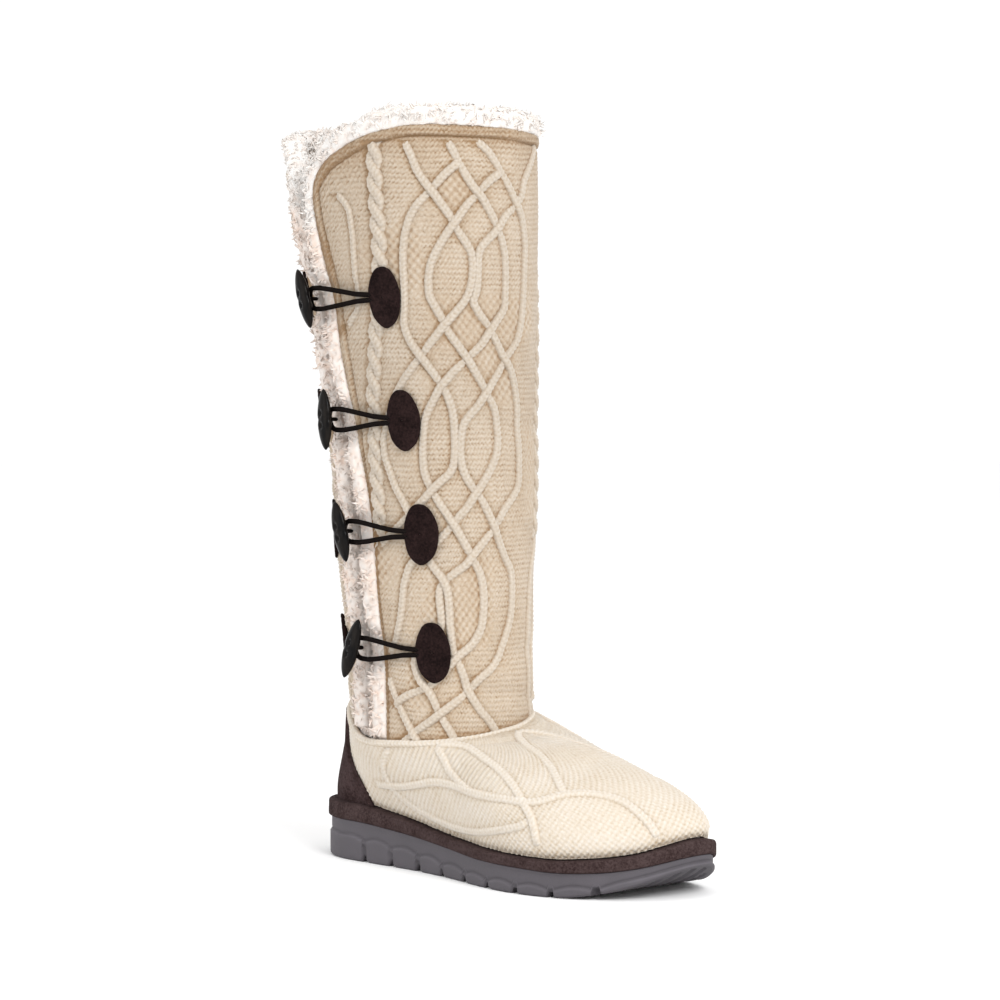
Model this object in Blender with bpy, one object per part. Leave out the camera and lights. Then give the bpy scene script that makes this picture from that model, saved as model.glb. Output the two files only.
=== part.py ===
"""Tall cable-knit boot for the right foot: foam sole, wrapped welt, knit foot and shaft, and a side slit edged
with deep fur, which four toggles close. Sizes are in millimetres here and turn into metres in add_solid and
add_cord. x runs from the sole's heel to its toe, y to the medial side and z up from the floor; the empty named
boot then moves everything so that the world's origin is under the middle of the heel."""

import bpy
import numpy as np

MM = 0.001
GAP = 0.3


def table(columns, *rows):
    """A table of sizes, read by the name of its column."""
    return dict(zip(columns.split(), np.array(rows, float).T))


# Sole and welt.
HEEL_REST_X = 42.0
BAND_HEIGHT = 7.0
BAND_INSET = 1.2
GROOVE_FIRST_X = 54.0
GROOVE_PITCH = 23.3
GROOVES = 9
GROOVE_WIDTH = 3.6
GROOVE_DEPTH = 3.2
GROOVE_SLOPE = 0.5
FLOOR_EDGE_INSET = 1.8
LUG_LEDGE = 1.2
WELT_PROUD = 0.6

# Knit walls, insole and heel counter.
FOOT_STATIONS = 24
FOOT_ROWS = 10
SEAM_GAP = 0.6
FOOT_WALL = 3.2
SHAFT_WALL = 3.0
FOOT_OVERLAP = 1.2
INSOLE_THICKNESS = 4.0
INSOLE_CLEARANCE = 0.6
COUNTER_THICKNESS = 1.6
COUNTER_SEAT = 0.95
COUNTER_FRONT_SHARE = 0.6

# Shaft, slit and fur.
RING_POWER = 2.2
SLIT_WIDTH = 31.0
SLIT_RADIUS = 52.0
COLLAR_GIRTH = 400.0
HEM_WIDTH = 6.0
HEM_STEP = 0.8
FRONT_CORNER_ANGLE = 46.0
FRONT_CORNER_DROP = 40.0
REAR_CORNER_ANGLE = 20.0
REAR_CORNER_DROP = 23.0
FUR_FOOT_HEIGHT = 75.0
FUR_FOOT_GAP = 2.5
COLLAR_FUR_LIFT = 1.6
COLLAR_FUR_HEIGHT = 14.5
SLIT_FUR_WIDTH = 13.8
FUR_TURN_HEIGHT = 12.0
LOCK_HEIGHT = 2.2
LOCK_SEED = 5

# Toggles, their suede patches and cords.
TOGGLE_LENGTH = 34.0
TOGGLE_WIDTH = 12.0
TOGGLE_DEPTH = 6.5
TOGGLE_LIFT = 5.6
TOGGLE_FULLNESS = 0.7
PATCH_WIDTH = 20.0
PATCH_HEIGHT = 33.0
PATCH_THICKNESS = 1.8
PATCH_SEAT = 0.5
REAR_PATCH_SETBACK = 20.0
LOOP_DIAMETER = 2.6
LOOP_RADIUS = 5.8
LOOP_LIFT = 2.9
STEM_DIAMETER = 2.0

# Half widths of the sole on each side of the line x.
OUTLINE = table(
    "x lateral medial",
    (0, 0, 0),
    (9, 21, 20),
    (30, 33, 32),
    (62, 35, 34.5),
    (98, 36, 35),
    (133, 41, 40.5),
    (165, 48.5, 47),
    (192, 51, 50.5),
    (218, 46.5, 49),
    (240, 36, 44),
    (258, 20, 35),
    (269, 1, 24),
    (272, -14, 14),
)

# Heights of the sole's underside, of the seam between outsole and welt, and of the welt's top.
LEVELS = table(
    "x bottom seam top",
    (0, 0.8, 22, 32),
    (12, 0, 22, 32),
    (50, 0, 22, 32),
    (76, 0, 20.4, 29),
    (102, 0, 18.3, 25.3),
    (125, 0, 16.4, 22.5),
    (150, 0, 14.7, 20.9),
    (200, 0, 13.6, 19.4),
    (218, 0, 13.0, 19.3),
    (233, 1.6, 13.5, 20.4),
    (248, 4.8, 15.0, 22.1),
    (260, 9.6, 17.6, 25.0),
    (272, 16.5, 22.5, 31),
)

# How the knit foot rises from its feather line, set in from the sole's outline at x, to the shaft's ring at an
# angle from its front: the height and outward lean of the first handle, then the share of the way back and the
# drop of the second.
FOOT = table(
    "x inset angle rise lean reach drop",
    (0, 6.5, 180, 20, 1, 0, 20),
    (30, 6.0, 150, 20, 2, 0, 20),
    (60, 5.0, 120, 20, 4, 0, 18),
    (95, 4.2, 92, 20, 6, 0, 16),
    (130, 4.0, 68, 22, 7, 0.2, 9),
    (165, 4.0, 48, 24, 7, 0.42, 8),
    (200, 4.0, 31, 25, 8, 0.52, 9),
    (235, 4.0, 17, 25, 9, 0.57, 11),
    (258, 4.0, 8, 24, 9, 0.6, 12),
    (272, 4.0, 0, 23, 9, 0.6, 12),
)

# The shaft's rings: centre, half sizes along and across the foot, and how far the ring sits to the lateral side.
SHAFT = table(
    "z centre depth width lateral",
    (60, 80.1, 57.8, 42, 0),
    (91, 80.1, 57.8, 42, 0),
    (125, 79.8, 58.1, 43, 1),
    (153, 79.0, 60.1, 45, 2),
    (209, 78.7, 61.7, 48, 3),
    (265, 74.1, 66.6, 51, 4),
    (321, 70.6, 70.7, 54, 5),
    (363, 65.0, 78.4, 56.5, 6),
    (430, 60.5, 80.6, 58.5, 6),
)

# Height of the seam between foot and shaft. Angles run from the front, 90 at the lateral side.
FOOT_SEAM = table(
    "angle z",
    (-180, 94),
    (-145, 88),
    (-95, 80),
    (-40, 86),
    (-11, 82),
    (30, 76.5),
    (75, 72.5),
    (112, 72.5),
    (145, 87),
    (180, 94),
)

# The collar's height before its corners are rounded, from the rear edge by the medial side to the front edge.
COLLAR = table("angle z", (130, 404), (200, 404), (270, 403), (320, 405), (360, 408), (400, 409.5), (470, 409.5))
COLLAR_LINE = 409.5

# The front flap's edge along the slit.
SLIT = table("z angle", (60, 90), (130, 90), (200, 91.5), (250, 95), (290, 100), (330, 103), (371, 104), (430, 104))

# The toggles from the top: how far in front of the slit's edge the front patch sits, and how far the toggle's top
# leans to the rear and away from the boot, in degrees.
TOGGLES = table("z setback tilt pitch", (316, 43.5, 14, 8), (249, 37.5, 5, 0), (187, 36, 9, 7), (122, 36, -14, -8))

# The heel counter's front edge: its place along the feather line, from the bottom of the foot's wall to its top.
COUNTER = table("rise x", (0.0, 57), (0.3, 47), (0.6, 37), (1.0, 31))

# The fur's section beside the edge that it hides: outwards from the flap's edge, and above the flap's face.
FUR = table(
    "out lift lock",
    (0.7, -3.7, 0),
    (0.7, 0.6, 0),
    (4.5, 2.6, 1),
    (9.0, 2.2, 1),
    (12.3, -0.6, 1),
    (12.6, -5.0, 1),
    (9.6, -9.6, 1),
    (3.5, -12.0, 1),
    (-3.0, -11.0, 1),
    (-7.0, -7.4, 0),
    (-6.5, -3.7, 0),
)
FUR_CORE = (3.5, -7.0)

# How high the slit's fur may stand at a height beside a toggle: it lies low under the cords.
FUR_ROOM = table("beside lift", (0, -1.8), (8.6, -1.8), (16, 2.6), (20, 5.0), (24, 8.0))

# The elastic loop's two strands, from the front patch to the toggle: share of the way, and half their distance.
LOOP = table("share apart", (0, 1.45), (0.2, 2.0), (0.4, 3.4), (0.6, 4.8), (0.8, LOOP_RADIUS), (1, LOOP_RADIUS))

# The toggle's own cord, from the toggle's middle to the rear: distance along the shaft and lift off its face.
STEM = table("across lift", (0, 5.2), (0.6, 1.2), (3, 0.1), (8, 0.1), (14.5, 2.2), (20, 2.2), (25.2, 1.6))


def curve(sizes, column, at, key):
    """A smooth curve through one column of a table: cubics whose slopes are the table's own mean slopes."""
    xs, ys = sizes[key], sizes[column]
    slopes = np.gradient(ys, xs)
    at = np.clip(at, xs[0], xs[-1])
    k = np.clip(np.searchsorted(xs, at, side="right") - 1, 0, len(xs) - 2)
    width = xs[k + 1] - xs[k]
    t = (at - xs[k]) / width
    start = (1 - t) ** 2 * ((1 + 2 * t) * ys[k] + t * width * slopes[k])
    end = t**2 * ((3 - 2 * t) * ys[k + 1] - (1 - t) * width * slopes[k + 1])
    return start + end


def ease(t):
    """0 to 1 with level ends."""
    t = np.clip(t, 0, 1)
    return t * t * (3 - 2 * t)


def material(name, color, roughness, metallic=0.0):
    made = bpy.data.materials.new(name)
    made.use_nodes = True
    shader = made.node_tree.nodes["Principled BSDF"]
    shader.inputs["Base Color"].default_value = (*color, 1)
    shader.inputs["Roughness"].default_value = roughness
    shader.inputs["Metallic"].default_value = metallic
    return made


def add_solid(name, points, faces, finish, boot):
    """A closed mesh from points in millimetres, as a child of the boot."""
    mesh = bpy.data.meshes.new(name)
    mesh.from_pydata((np.reshape(points, (-1, 3)) * MM).tolist(), [], faces)
    mesh.shade_smooth()
    mesh.set_sharp_from_angle(angle=np.radians(35))
    mesh.materials.append(finish)
    piece = bpy.data.objects.new(name, mesh)
    piece.parent = boot
    bpy.context.scene.collection.objects.link(piece)


def add_cord(name, points, diameter, finish, boot):
    """A round cord along points in millimetres."""
    data = bpy.data.curves.new(name, "CURVE")
    data.dimensions = "3D"
    data.bevel_depth = diameter / 2 * MM
    data.bevel_resolution = 2
    data.use_fill_caps = True
    line = data.splines.new("POLY")
    line.points.add(len(points) - 1)
    line.points.foreach_set("co", np.c_[points * MM, np.ones(len(points))].ravel())
    data.materials.append(finish)
    piece = bpy.data.objects.new(name, data)
    piece.parent = boot
    bpy.context.scene.collection.objects.link(piece)


def outline_curve():
    """The sole's closed outline, a Catmull-Rom curve from the heel along the lateral side and back."""
    lateral = np.c_[OUTLINE["x"], -OUTLINE["lateral"]]
    medial = np.c_[OUTLINE["x"], OUTLINE["medial"]]
    knots = np.concatenate([lateral, medial[-2:0:-1]])
    t = np.arange(len(knots) * 80) / 80
    k = t.astype(int)
    f = (t - k)[:, None]
    a, b, c, d = (knots[(k + step) % len(knots)] for step in (-1, 0, 1, 2))
    return b + f * (c - a) / 2 + f**2 * (2 * a - 5 * b + 4 * c - d) / 2 + f**3 * (3 * b - a - 3 * c + d) / 2


EDGE = outline_curve()
EDGE_TANGENT = np.roll(EDGE, -1, axis=0) - np.roll(EDGE, 1, axis=0)
EDGE_INWARD = np.c_[-EDGE_TANGENT[:, 1], EDGE_TANGENT[:, 0]]
EDGE_INWARD /= np.linalg.norm(EDGE_INWARD, axis=1)[:, None]
TOE_INDEX = int(EDGE[:, 0].argmax())


def sole_loop(stations, inset):
    """The outline at the given x stations, out along the lateral side and back along the medial one, moved in."""
    closed = np.arange(len(EDGE) + 1) % len(EDGE)
    lateral = closed[: TOE_INDEX + 1]
    medial = closed[TOE_INDEX:][::-1]
    moved = EDGE + EDGE_INWARD * inset
    sides = []
    for side, xs in ((lateral, stations), (medial, stations[-2:0:-1])):
        sides.append(np.stack([np.interp(xs, EDGE[side, 0], moved[side, axis]) for axis in (0, 1)], -1))
    return np.concatenate(sides)


def there_and_back(values):
    """Values for the stations, repeated for the medial side of a loop."""
    return np.concatenate([values, values[-2:0:-1]])


def stations_for(count):
    """Stations from heel to toe, closer together at the two round ends."""
    first, last = EDGE[:, 0].min(), EDGE[:, 0].max()
    return first + (last - first) * (1 - np.cos(np.linspace(0, np.pi, count))) / 2


def grid_faces(rows, columns, closed):
    """Quads of a grid of points, facing out when rows climb and columns run counter-clockwise from above."""
    r, c = np.meshgrid(np.arange(rows - 1), np.arange(columns if closed else columns - 1), indexing="ij")
    after = (c + 1) % columns
    quads = np.stack([r * columns + c, r * columns + after, (r + 1) * columns + after, (r + 1) * columns + c], -1)
    return quads.reshape(-1, 4).tolist()


def plate(loops):
    """A solid between sole loops that climb, its two faces closed by strips from side to side."""
    rows, count = loops.shape[:2]
    faces = grid_faces(rows, count, True)
    top = (rows - 1) * count
    for i in range(count // 2):
        strip = [i, i + 1, (count - i - 1) % count, (count - i) % count]
        strip = list(dict.fromkeys(strip))
        faces.append([top + k for k in strip])
        faces.append(strip[::-1])
    return loops, faces


def wall(outer, inner, closed):
    """A wall between two grids of the same size, with its rims."""
    rows, columns = outer.shape[:2]
    skin = grid_faces(rows, columns, closed)
    shift = rows * columns
    faces = skin + [[k + shift for k in face[::-1]] for face in skin]
    for c in range(columns if closed else columns - 1):
        after = (c + 1) % columns
        faces.append([after, c, shift + c, shift + after])
        top = (rows - 1) * columns
        faces.append([top + c, top + after, shift + top + after, shift + top + c])
    if not closed:
        for r in range(rows - 1):
            low, high = r * columns, (r + 1) * columns
            faces.append([low, high, shift + high, shift + low])
            last = columns - 1
            faces.append([high + last, low + last, shift + low + last, shift + high + last])
    return np.stack([outer, inner]), faces


def stack(rings, first, last):
    """A solid of closed rings that climb, ended by a point at each end."""
    rows, columns = rings.shape[:2]
    faces = grid_faces(rows, columns, True)
    count = rows * columns
    for c in range(columns):
        after = (c + 1) % columns
        faces.append([after, c, count])
        top = (rows - 1) * columns
        faces.append([top + c, top + after, count + 1])
    return np.concatenate([rings.reshape(-1, 3), [first, last]]), faces


def ring(angle, z, lift=0.0):
    """A point on the shaft's outer face: a superellipse at each height, then out along its normal by lift."""
    centre, depth, width, lateral = (curve(SHAFT, name, z, "z") for name in ("centre", "depth", "width", "lateral"))

    def place(degrees):
        c, s = np.cos(np.radians(degrees)), np.sin(np.radians(degrees))
        x = centre + depth * np.sign(c) * np.abs(c) ** (2 / RING_POWER)
        y = -lateral - width * np.sign(s) * np.abs(s) ** (2 / RING_POWER)
        return x, y

    x, y = place(angle)
    before, after = place(angle - 0.5), place(angle + 0.5)
    along = np.stack([after[0] - before[0], after[1] - before[1]])
    along /= np.linalg.norm(along, axis=0)
    return np.stack([x - along[1] * lift, y + along[0] * lift, z + 0 * x], -1)


def walk(z, angle, distance):
    """The angle reached from another one by going round the ring at height z, towards the rear if positive."""
    angles = angle + np.linspace(-90, 90, 721)
    path = ring(angles, z + 0 * angles)[:, :2]
    gone = np.r_[0, np.linalg.norm(np.diff(path, axis=0), axis=1).cumsum()]
    return np.interp(gone[360] + distance, gone, angles)


def front_edge(z):
    return curve(SLIT, "angle", z, "z")


def rear_edge(z):
    return np.array([walk(each, front_edge(each), SLIT_WIDTH) for each in np.ravel(z)]).reshape(np.shape(z))


def seam_height(angle):
    """Height of the foot's seam at an angle of any turn."""
    return curve(FOOT_SEAM, "z", (angle + 180) % 360 - 180, "angle")


def collar_height(angle):
    """The shaft's top edge, between the rear edge and 360 degrees past the front edge, with its two round corners."""
    front = 360 + front_edge(COLLAR_LINE - FRONT_CORNER_DROP)
    rear = rear_edge(COLLAR_LINE - REAR_CORNER_DROP)
    near_front = np.clip((angle - 360 - FRONT_CORNER_ANGLE) / (front - 360 - FRONT_CORNER_ANGLE), 0, 1)
    near_rear = np.clip((rear + REAR_CORNER_ANGLE - angle) / REAR_CORNER_ANGLE, 0, 1)
    drop = FRONT_CORNER_DROP * (1 - np.sqrt(1 - near_front**2))
    drop += REAR_CORNER_DROP * (1 - np.sqrt(1 - near_rear**2))
    return curve(COLLAR, "z", angle, "angle") - drop


def shaft_columns():
    """Shares of the way round the shaft, from the rear edge to the front edge, with both hems' steps."""
    quarter = np.sin(np.linspace(0, np.pi / 2, 6))
    top = 360 + front_edge(COLLAR_LINE) - rear_edge(COLLAR_LINE)
    rear_corner = REAR_CORNER_ANGLE / top * (1 - quarter[::-1])
    front_corner = 1 - (front_edge(COLLAR_LINE) - FRONT_CORNER_ANGLE) / top * (1 - quarter)
    middle = np.linspace(rear_corner[-1], front_corner[0], 26)[1:-1]
    hem = HEM_WIDTH / (COLLAR_GIRTH - SLIT_WIDTH)
    steps = [hem * 0.9, hem * 1.15, 1 - hem * 1.15, 1 - hem * 0.9]
    columns = np.concatenate([rear_corner, middle, front_corner])
    near = np.abs(columns[:, None] - np.array(steps)).min(axis=1) < hem * 0.35
    return np.sort(np.concatenate([columns[~near], steps])), hem


def shaft_grid(columns, rise, hem_below):
    """Angles and heights of the shaft's points. rise goes from 0 at the foot's seam to 1 at the hem."""
    top_angle = rear_edge(COLLAR_LINE) + columns * (360 + front_edge(COLLAR_LINE) - rear_edge(COLLAR_LINE))
    top = collar_height(top_angle)
    bottom = seam_height(top_angle) + SEAM_GAP / 2
    lines = [bottom + share * (top - hem_below * 1.15 - bottom) for share in rise]
    lines += [top - hem_below * 0.9, top]
    z = np.array(lines)
    rear, front = rear_edge(z), 360 + front_edge(z)
    angle = rear + columns * (front - rear)
    z[0] = seam_height(angle[0]) + SEAM_GAP / 2
    return angle, z


def make_outsole(finish, boot):
    grooves = GROOVE_FIRST_X + GROOVE_PITCH * np.arange(GROOVES)
    half = GROOVE_WIDTH / 2
    sides = np.array([-half, -half + GROOVE_SLOPE, half - GROOVE_SLOPE, half])
    cuts = (grooves[:, None] + sides).ravel()
    plain = stations_for(27)
    plain = plain[np.abs(plain[:, None] - grooves).min(axis=1) > GROOVE_WIDTH]
    stations = np.sort(np.concatenate([plain, cuts]))
    inside = np.abs(stations[:, None] - grooves).min(axis=1) < half - GROOVE_SLOPE / 2
    bottom, seam = (curve(LEVELS, name, stations, "x") for name in ("bottom", "seam"))
    bottom = np.maximum(bottom, 0)
    band = np.minimum(BAND_HEIGHT, 0.5 * (seam - bottom))
    lug_top = np.minimum(bottom + GROOVE_DEPTH + LUG_LEDGE, seam - band - 1.0)
    levels = (
        (FLOOR_EDGE_INSET, bottom + GROOVE_DEPTH * inside),
        (0.3, lug_top),
        (0.0, seam - band - 0.6),
        (BAND_INSET, seam - band),
        (BAND_INSET, seam),
    )
    loops = [np.c_[sole_loop(stations, inset), there_and_back(z)] for inset, z in levels]
    add_solid("outsole", *plate(np.array(loops)), finish, boot)


def make_welt(finish, boot):
    stations = stations_for(28)
    seam, top = (curve(LEVELS, name, stations, "x") for name in ("seam", "top"))
    height = top - seam - GAP
    levels = ((0.8, 0.0), (-WELT_PROUD, 0.3), (-WELT_PROUD, 0.7), (1.6, 1.0))
    loops = [np.c_[sole_loop(stations, inset), there_and_back(seam + GAP + share * height)] for inset, share in levels]
    add_solid("welt", *plate(np.array(loops)), finish, boot)


def make_insole(finish, boot):
    stations = stations_for(24)
    seat = there_and_back(curve(LEVELS, "top", stations, "x") + GAP)
    edge = sole_loop(stations, 0)
    inward = sole_loop(stations, 1) - edge
    inset = there_and_back(curve(FOOT, "inset", stations, "x"))[:, None] + FOOT_WALL + INSOLE_CLEARANCE
    rise = (0.0, INSOLE_THICKNESS * 0.7, INSOLE_THICKNESS)
    loops = [np.c_[edge + (inset + more) * inward, seat + up] for more, up in zip((0, 0, 1.2), rise)]
    add_solid("insole", *plate(np.array(loops)), finish, boot)


def foot_surface(stations, rise, lift=0.0):
    """The knit foot's outer face: from each point of the feather line a cubic climbs to the shaft's ring."""
    angle, up, lean, reach, drop = (
        there_and_back(curve(FOOT, name, stations, "x")) for name in ("angle", "rise", "lean", "reach", "drop")
    )
    angle[len(stations) :] *= -1
    inset = there_and_back(curve(FOOT, "inset", stations, "x"))[:, None]
    edge = sole_loop(stations, 0)
    outward = edge - sole_loop(stations, 1)
    flat = edge - inset * outward
    seat = there_and_back(curve(LEVELS, "top", stations, "x") + GAP)
    start = np.c_[flat, seat]
    first = np.c_[flat + outward * lean[:, None], seat + up]
    end = ring(angle, seam_height(angle) - SEAM_GAP / 2, FOOT_OVERLAP)
    second = end + (start - end) * reach[:, None] * (1, 1, 0)
    second[:, 2] = end[:, 2] - drop
    t = np.asarray(rise)[:, None, None]
    face = (1 - t) ** 3 * start + 3 * (1 - t) ** 2 * t * first + 3 * (1 - t) * t**2 * second + t**3 * end
    return face + lift * outward_normals(face)


def between(grid, row, column):
    """Values of a grid at fractions of its rows and columns, a row of fractions for each column of them."""
    r, c = np.floor(row + 1e-6).astype(int)[:, None], np.floor(column).astype(int)
    part = (column - c)[:, :, None]
    beside = (1 - part) * grid[r, c] + part * grid[r, c + 1]
    above = (1 - part) * grid[r + 1, c] + part * grid[r + 1, c + 1]
    return beside + (row[:, None] - r)[:, :, None] * (above - beside)


def outward_normals(face):
    """Unit normals of a grid whose columns close round the foot."""
    along = np.roll(face, -1, axis=1) - np.roll(face, 1, axis=1)
    upward = np.gradient(face, axis=0)
    normal = np.cross(along, upward)
    return normal / np.linalg.norm(normal, axis=2)[:, :, None]


def make_upper(finish, boot):
    outer = foot_surface(stations_for(FOOT_STATIONS), np.linspace(0, 1, FOOT_ROWS))
    inner = outer - FOOT_WALL * outward_normals(outer)
    inner[0, :, 2] = outer[0, :, 2]
    inner[-1, :, 2] = outer[-1, :, 2]
    add_solid("upper", *wall(outer, inner, True), finish, boot)


def make_counter(finish, boot):
    """The counter lies on the foot's own columns and rows round the heel, and ends at its own front edge."""
    stations = stations_for(FOOT_STATIONS)
    rise = np.linspace(0, 1, FOOT_ROWS)
    share = np.concatenate([[0.012], rise[1:-1], [0.94]])
    front = np.interp(curve(COUNTER, "x", share, "rise"), stations, np.arange(len(stations)))
    whole = int(front.min() - 0.2)
    beyond = whole + (front[:, None] - whole) * (0.5, 1.0)
    inside = np.tile(np.arange(-whole, whole + 1), (len(share), 1))
    where = np.concatenate([-beyond[:, ::-1], inside, beyond], axis=1)
    flat = foot_surface(stations, rise)
    face = between(flat, share * (FOOT_ROWS - 1), where)
    normal = between(outward_normals(flat), share * (FOOT_ROWS - 1), where)
    skins = [face + normal * (COUNTER_SEAT + thickness) for thickness in (COUNTER_THICKNESS, 0)]
    skins[0][:, [0, -1]] = skins[1][:, [0, -1]] + COUNTER_FRONT_SHARE * (skins[0] - skins[1])[:, [0, -1]]
    add_solid("heel_counter", *wall(*skins, False), finish, boot)


def make_shaft(finish, boot):
    columns, hem = shaft_columns()
    angle, z = shaft_grid(columns, np.linspace(0, 1, 14), HEM_WIDTH)
    hemmed = (columns < hem) | (columns > 1 - hem)
    step = np.tile(hemmed, (len(z), 1))
    step[-2:] = True
    outer = ring(angle, z, HEM_STEP * step)[:, ::-1]
    inner = ring(angle, z, -SHAFT_WALL)[:, ::-1]
    add_solid("shaft", *wall(outer, inner, False), finish, boot)


def slit_heights(foot, top):
    """Heights along a slit's edge, close together where the fur dips under a toggle's cords."""
    offsets = (-24, -16.5, -8.5, 0, 8.5, 16.5, 24, 32.5)
    heights = (TOGGLES["z"][:, None] + offsets).ravel()
    heights = heights[(heights > foot + 12) & (heights < top - 5)]
    return np.sort(np.append(heights, [foot, foot + 7]))


def fur_path():
    """Angle and height along the shaft's edge: down the rear edge reversed, round the collar, and down the front."""
    columns, _ = shaft_columns()
    angle, z = shaft_grid(columns, [0, 1], HEM_WIDTH)
    collar_angle, collar_z = angle[-1], z[-1]
    rear_foot = seam_height(rear_edge(FUR_FOOT_HEIGHT)) + FUR_FOOT_GAP
    front_foot = seam_height(front_edge(FUR_FOOT_HEIGHT)) + FUR_FOOT_GAP
    rear = slit_heights(rear_foot, collar_z[0])
    front = slit_heights(front_foot, collar_z[-1])[::-1]
    angles = np.concatenate([rear_edge(rear), collar_angle, 360 + front_edge(front)])
    return angles, np.concatenate([rear, collar_z, front])


def make_fur(finish, boot):
    """A roll along the shaft's edge whose notch takes the wall, with a lock pulled out at every other point."""
    angle, z = fur_path()
    path = ring(angle, z)
    normal = ring(angle, z, 1.0) - path
    along = np.gradient(path, axis=0)
    along /= np.linalg.norm(along, axis=1)[:, None]
    out = np.cross(along, normal)
    out /= np.linalg.norm(out, axis=1)[:, None]
    stations, points = len(path), len(FUR["out"])
    section = np.stack([FUR["out"], FUR["lift"]], -1)
    spread = section - FUR_CORE
    spread /= np.linalg.norm(spread, axis=1)[:, None]
    odd = (np.arange(stations)[:, None] + np.arange(points)) % 2
    size = np.random.default_rng(LOCK_SEED).uniform(0.5, 1.0, (stations, points))
    locks = LOCK_HEIGHT * odd * size * FUR["lock"]
    placed = section + locks[:, :, None] * spread
    in_slit = ease((collar_height(angle) - z) / FUR_TURN_HEIGHT - 1)
    widest = COLLAR_FUR_HEIGHT + (SLIT_FUR_WIDTH - COLLAR_FUR_HEIGHT) * in_slit
    placed[:, :, 0] = np.minimum(placed[:, :, 0], widest[:, None])
    beside = np.abs(z[:, None] - TOGGLES["z"]).min(axis=1)
    room = np.interp(beside, FUR_ROOM["beside"], FUR_ROOM["lift"])
    room = room + (COLLAR_FUR_LIFT - room) * (1 - in_slit)
    placed[:, :, 1] = np.minimum(placed[:, :, 1], room[:, None])
    level_out = 1 - out[:, 2] ** 2
    placed[:, :, 1] -= placed[:, :, 0] ** 2 * level_out[:, None] / (2 * SLIT_RADIUS)
    body = path[:, None] + placed[:, :, :1] * out[:, None] + placed[:, :, 1:] * normal[:, None]
    ends = [path[k] + FUR_CORE[0] * out[k] + FUR_CORE[1] * normal[k] for k in (0, -1)]
    add_solid("fur_edging", *stack(body, *ends), finish, boot)


def make_patch(name, z, angle, finish, boot):
    """An oval suede patch laid on the shaft: rings of an ellipse at three lifts, domed in the middle."""
    turn = np.radians(np.arange(0, 360, 22.5))
    rings = []
    for share, lift in ((0.55, 0.0), (0.97, 0.0), (1.0, 0.5), (0.9, 0.95)):
        across = share * PATCH_WIDTH / 2 * np.cos(turn)
        up = share * PATCH_HEIGHT / 2 * np.sin(turn)
        rings.append(ring(walk(z, angle, across), z + up, PATCH_SEAT + PATCH_THICKNESS * lift))
    ends = [ring(angle, z, PATCH_SEAT + lift) for lift in (0, PATCH_THICKNESS)]
    add_solid(name, *stack(np.array(rings)[:, ::-1], *ends), finish, boot)


def make_toggle(name, z, angle, tilt, pitch, finish, boot):
    """A horn toggle: flat ovals that swell from one tapered tip to the other, lying across its cords."""
    centre = ring(angle, z, TOGGLE_LIFT + TOGGLE_DEPTH / 2)
    normal = ring(angle, z, 1.0) - ring(angle, z)
    rearward = np.cross(normal, (0, 0, 1))
    lean, tip = np.radians(tilt), np.radians(pitch)
    along = np.array((0, 0, 1)) * np.cos(lean) + rearward * np.sin(lean)
    side = np.cross(normal, along)
    axis = along * np.cos(tip) + normal * np.sin(tip)
    normal = np.cross(axis, side)
    share = np.sin(np.linspace(-1, 1, 8) * np.radians(80))
    swell = (1 - share**2) ** TOGGLE_FULLNESS
    turn = np.radians(np.arange(0, 360, 40))
    across, depth = np.multiply.outer(swell, np.cos(turn)), np.multiply.outer(swell, np.sin(turn))
    rings = (
        centre
        + share[:, None, None] * TOGGLE_LENGTH / 2 * axis
        + across[:, :, None] * TOGGLE_WIDTH / 2 * side
        + depth[:, :, None] * TOGGLE_DEPTH / 2 * normal
    )
    ends = [centre + sign * TOGGLE_LENGTH / 2 * axis for sign in (-1, 1)]
    add_solid(name, *stack(rings, *ends), finish, boot)


def loop_route(z, toggle_angle, reach):
    """The elastic loop: two strands that part on their way from the patch and meet round the toggle's stem."""
    back = -reach + GAP
    away = back + reach * LOOP["share"]
    apart = LOOP["apart"]
    bend = np.radians((54, 18, -18, -54))
    across = np.concatenate([away, LOOP_RADIUS * np.cos(bend), away[::-1]])
    up = np.concatenate([apart, LOOP_RADIUS * np.sin(bend), -apart[::-1]])
    hem = -SLIT_WIDTH / 2 - HEM_WIDTH
    lift = np.interp(across, (back, hem - 5, hem - 1), (1.75, 1.8, LOOP_LIFT))
    return np.array([ring(walk(z, toggle_angle, a), z + u, n) for a, u, n in zip(across, up, lift)])


def stem_route(z, toggle_angle):
    """The toggle's own cord: from its middle down through the loop, then over the rear hem to the rear patch."""
    return np.array([ring(walk(z, toggle_angle, a), z, n) for a, n in zip(STEM["across"], STEM["lift"])])


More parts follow.
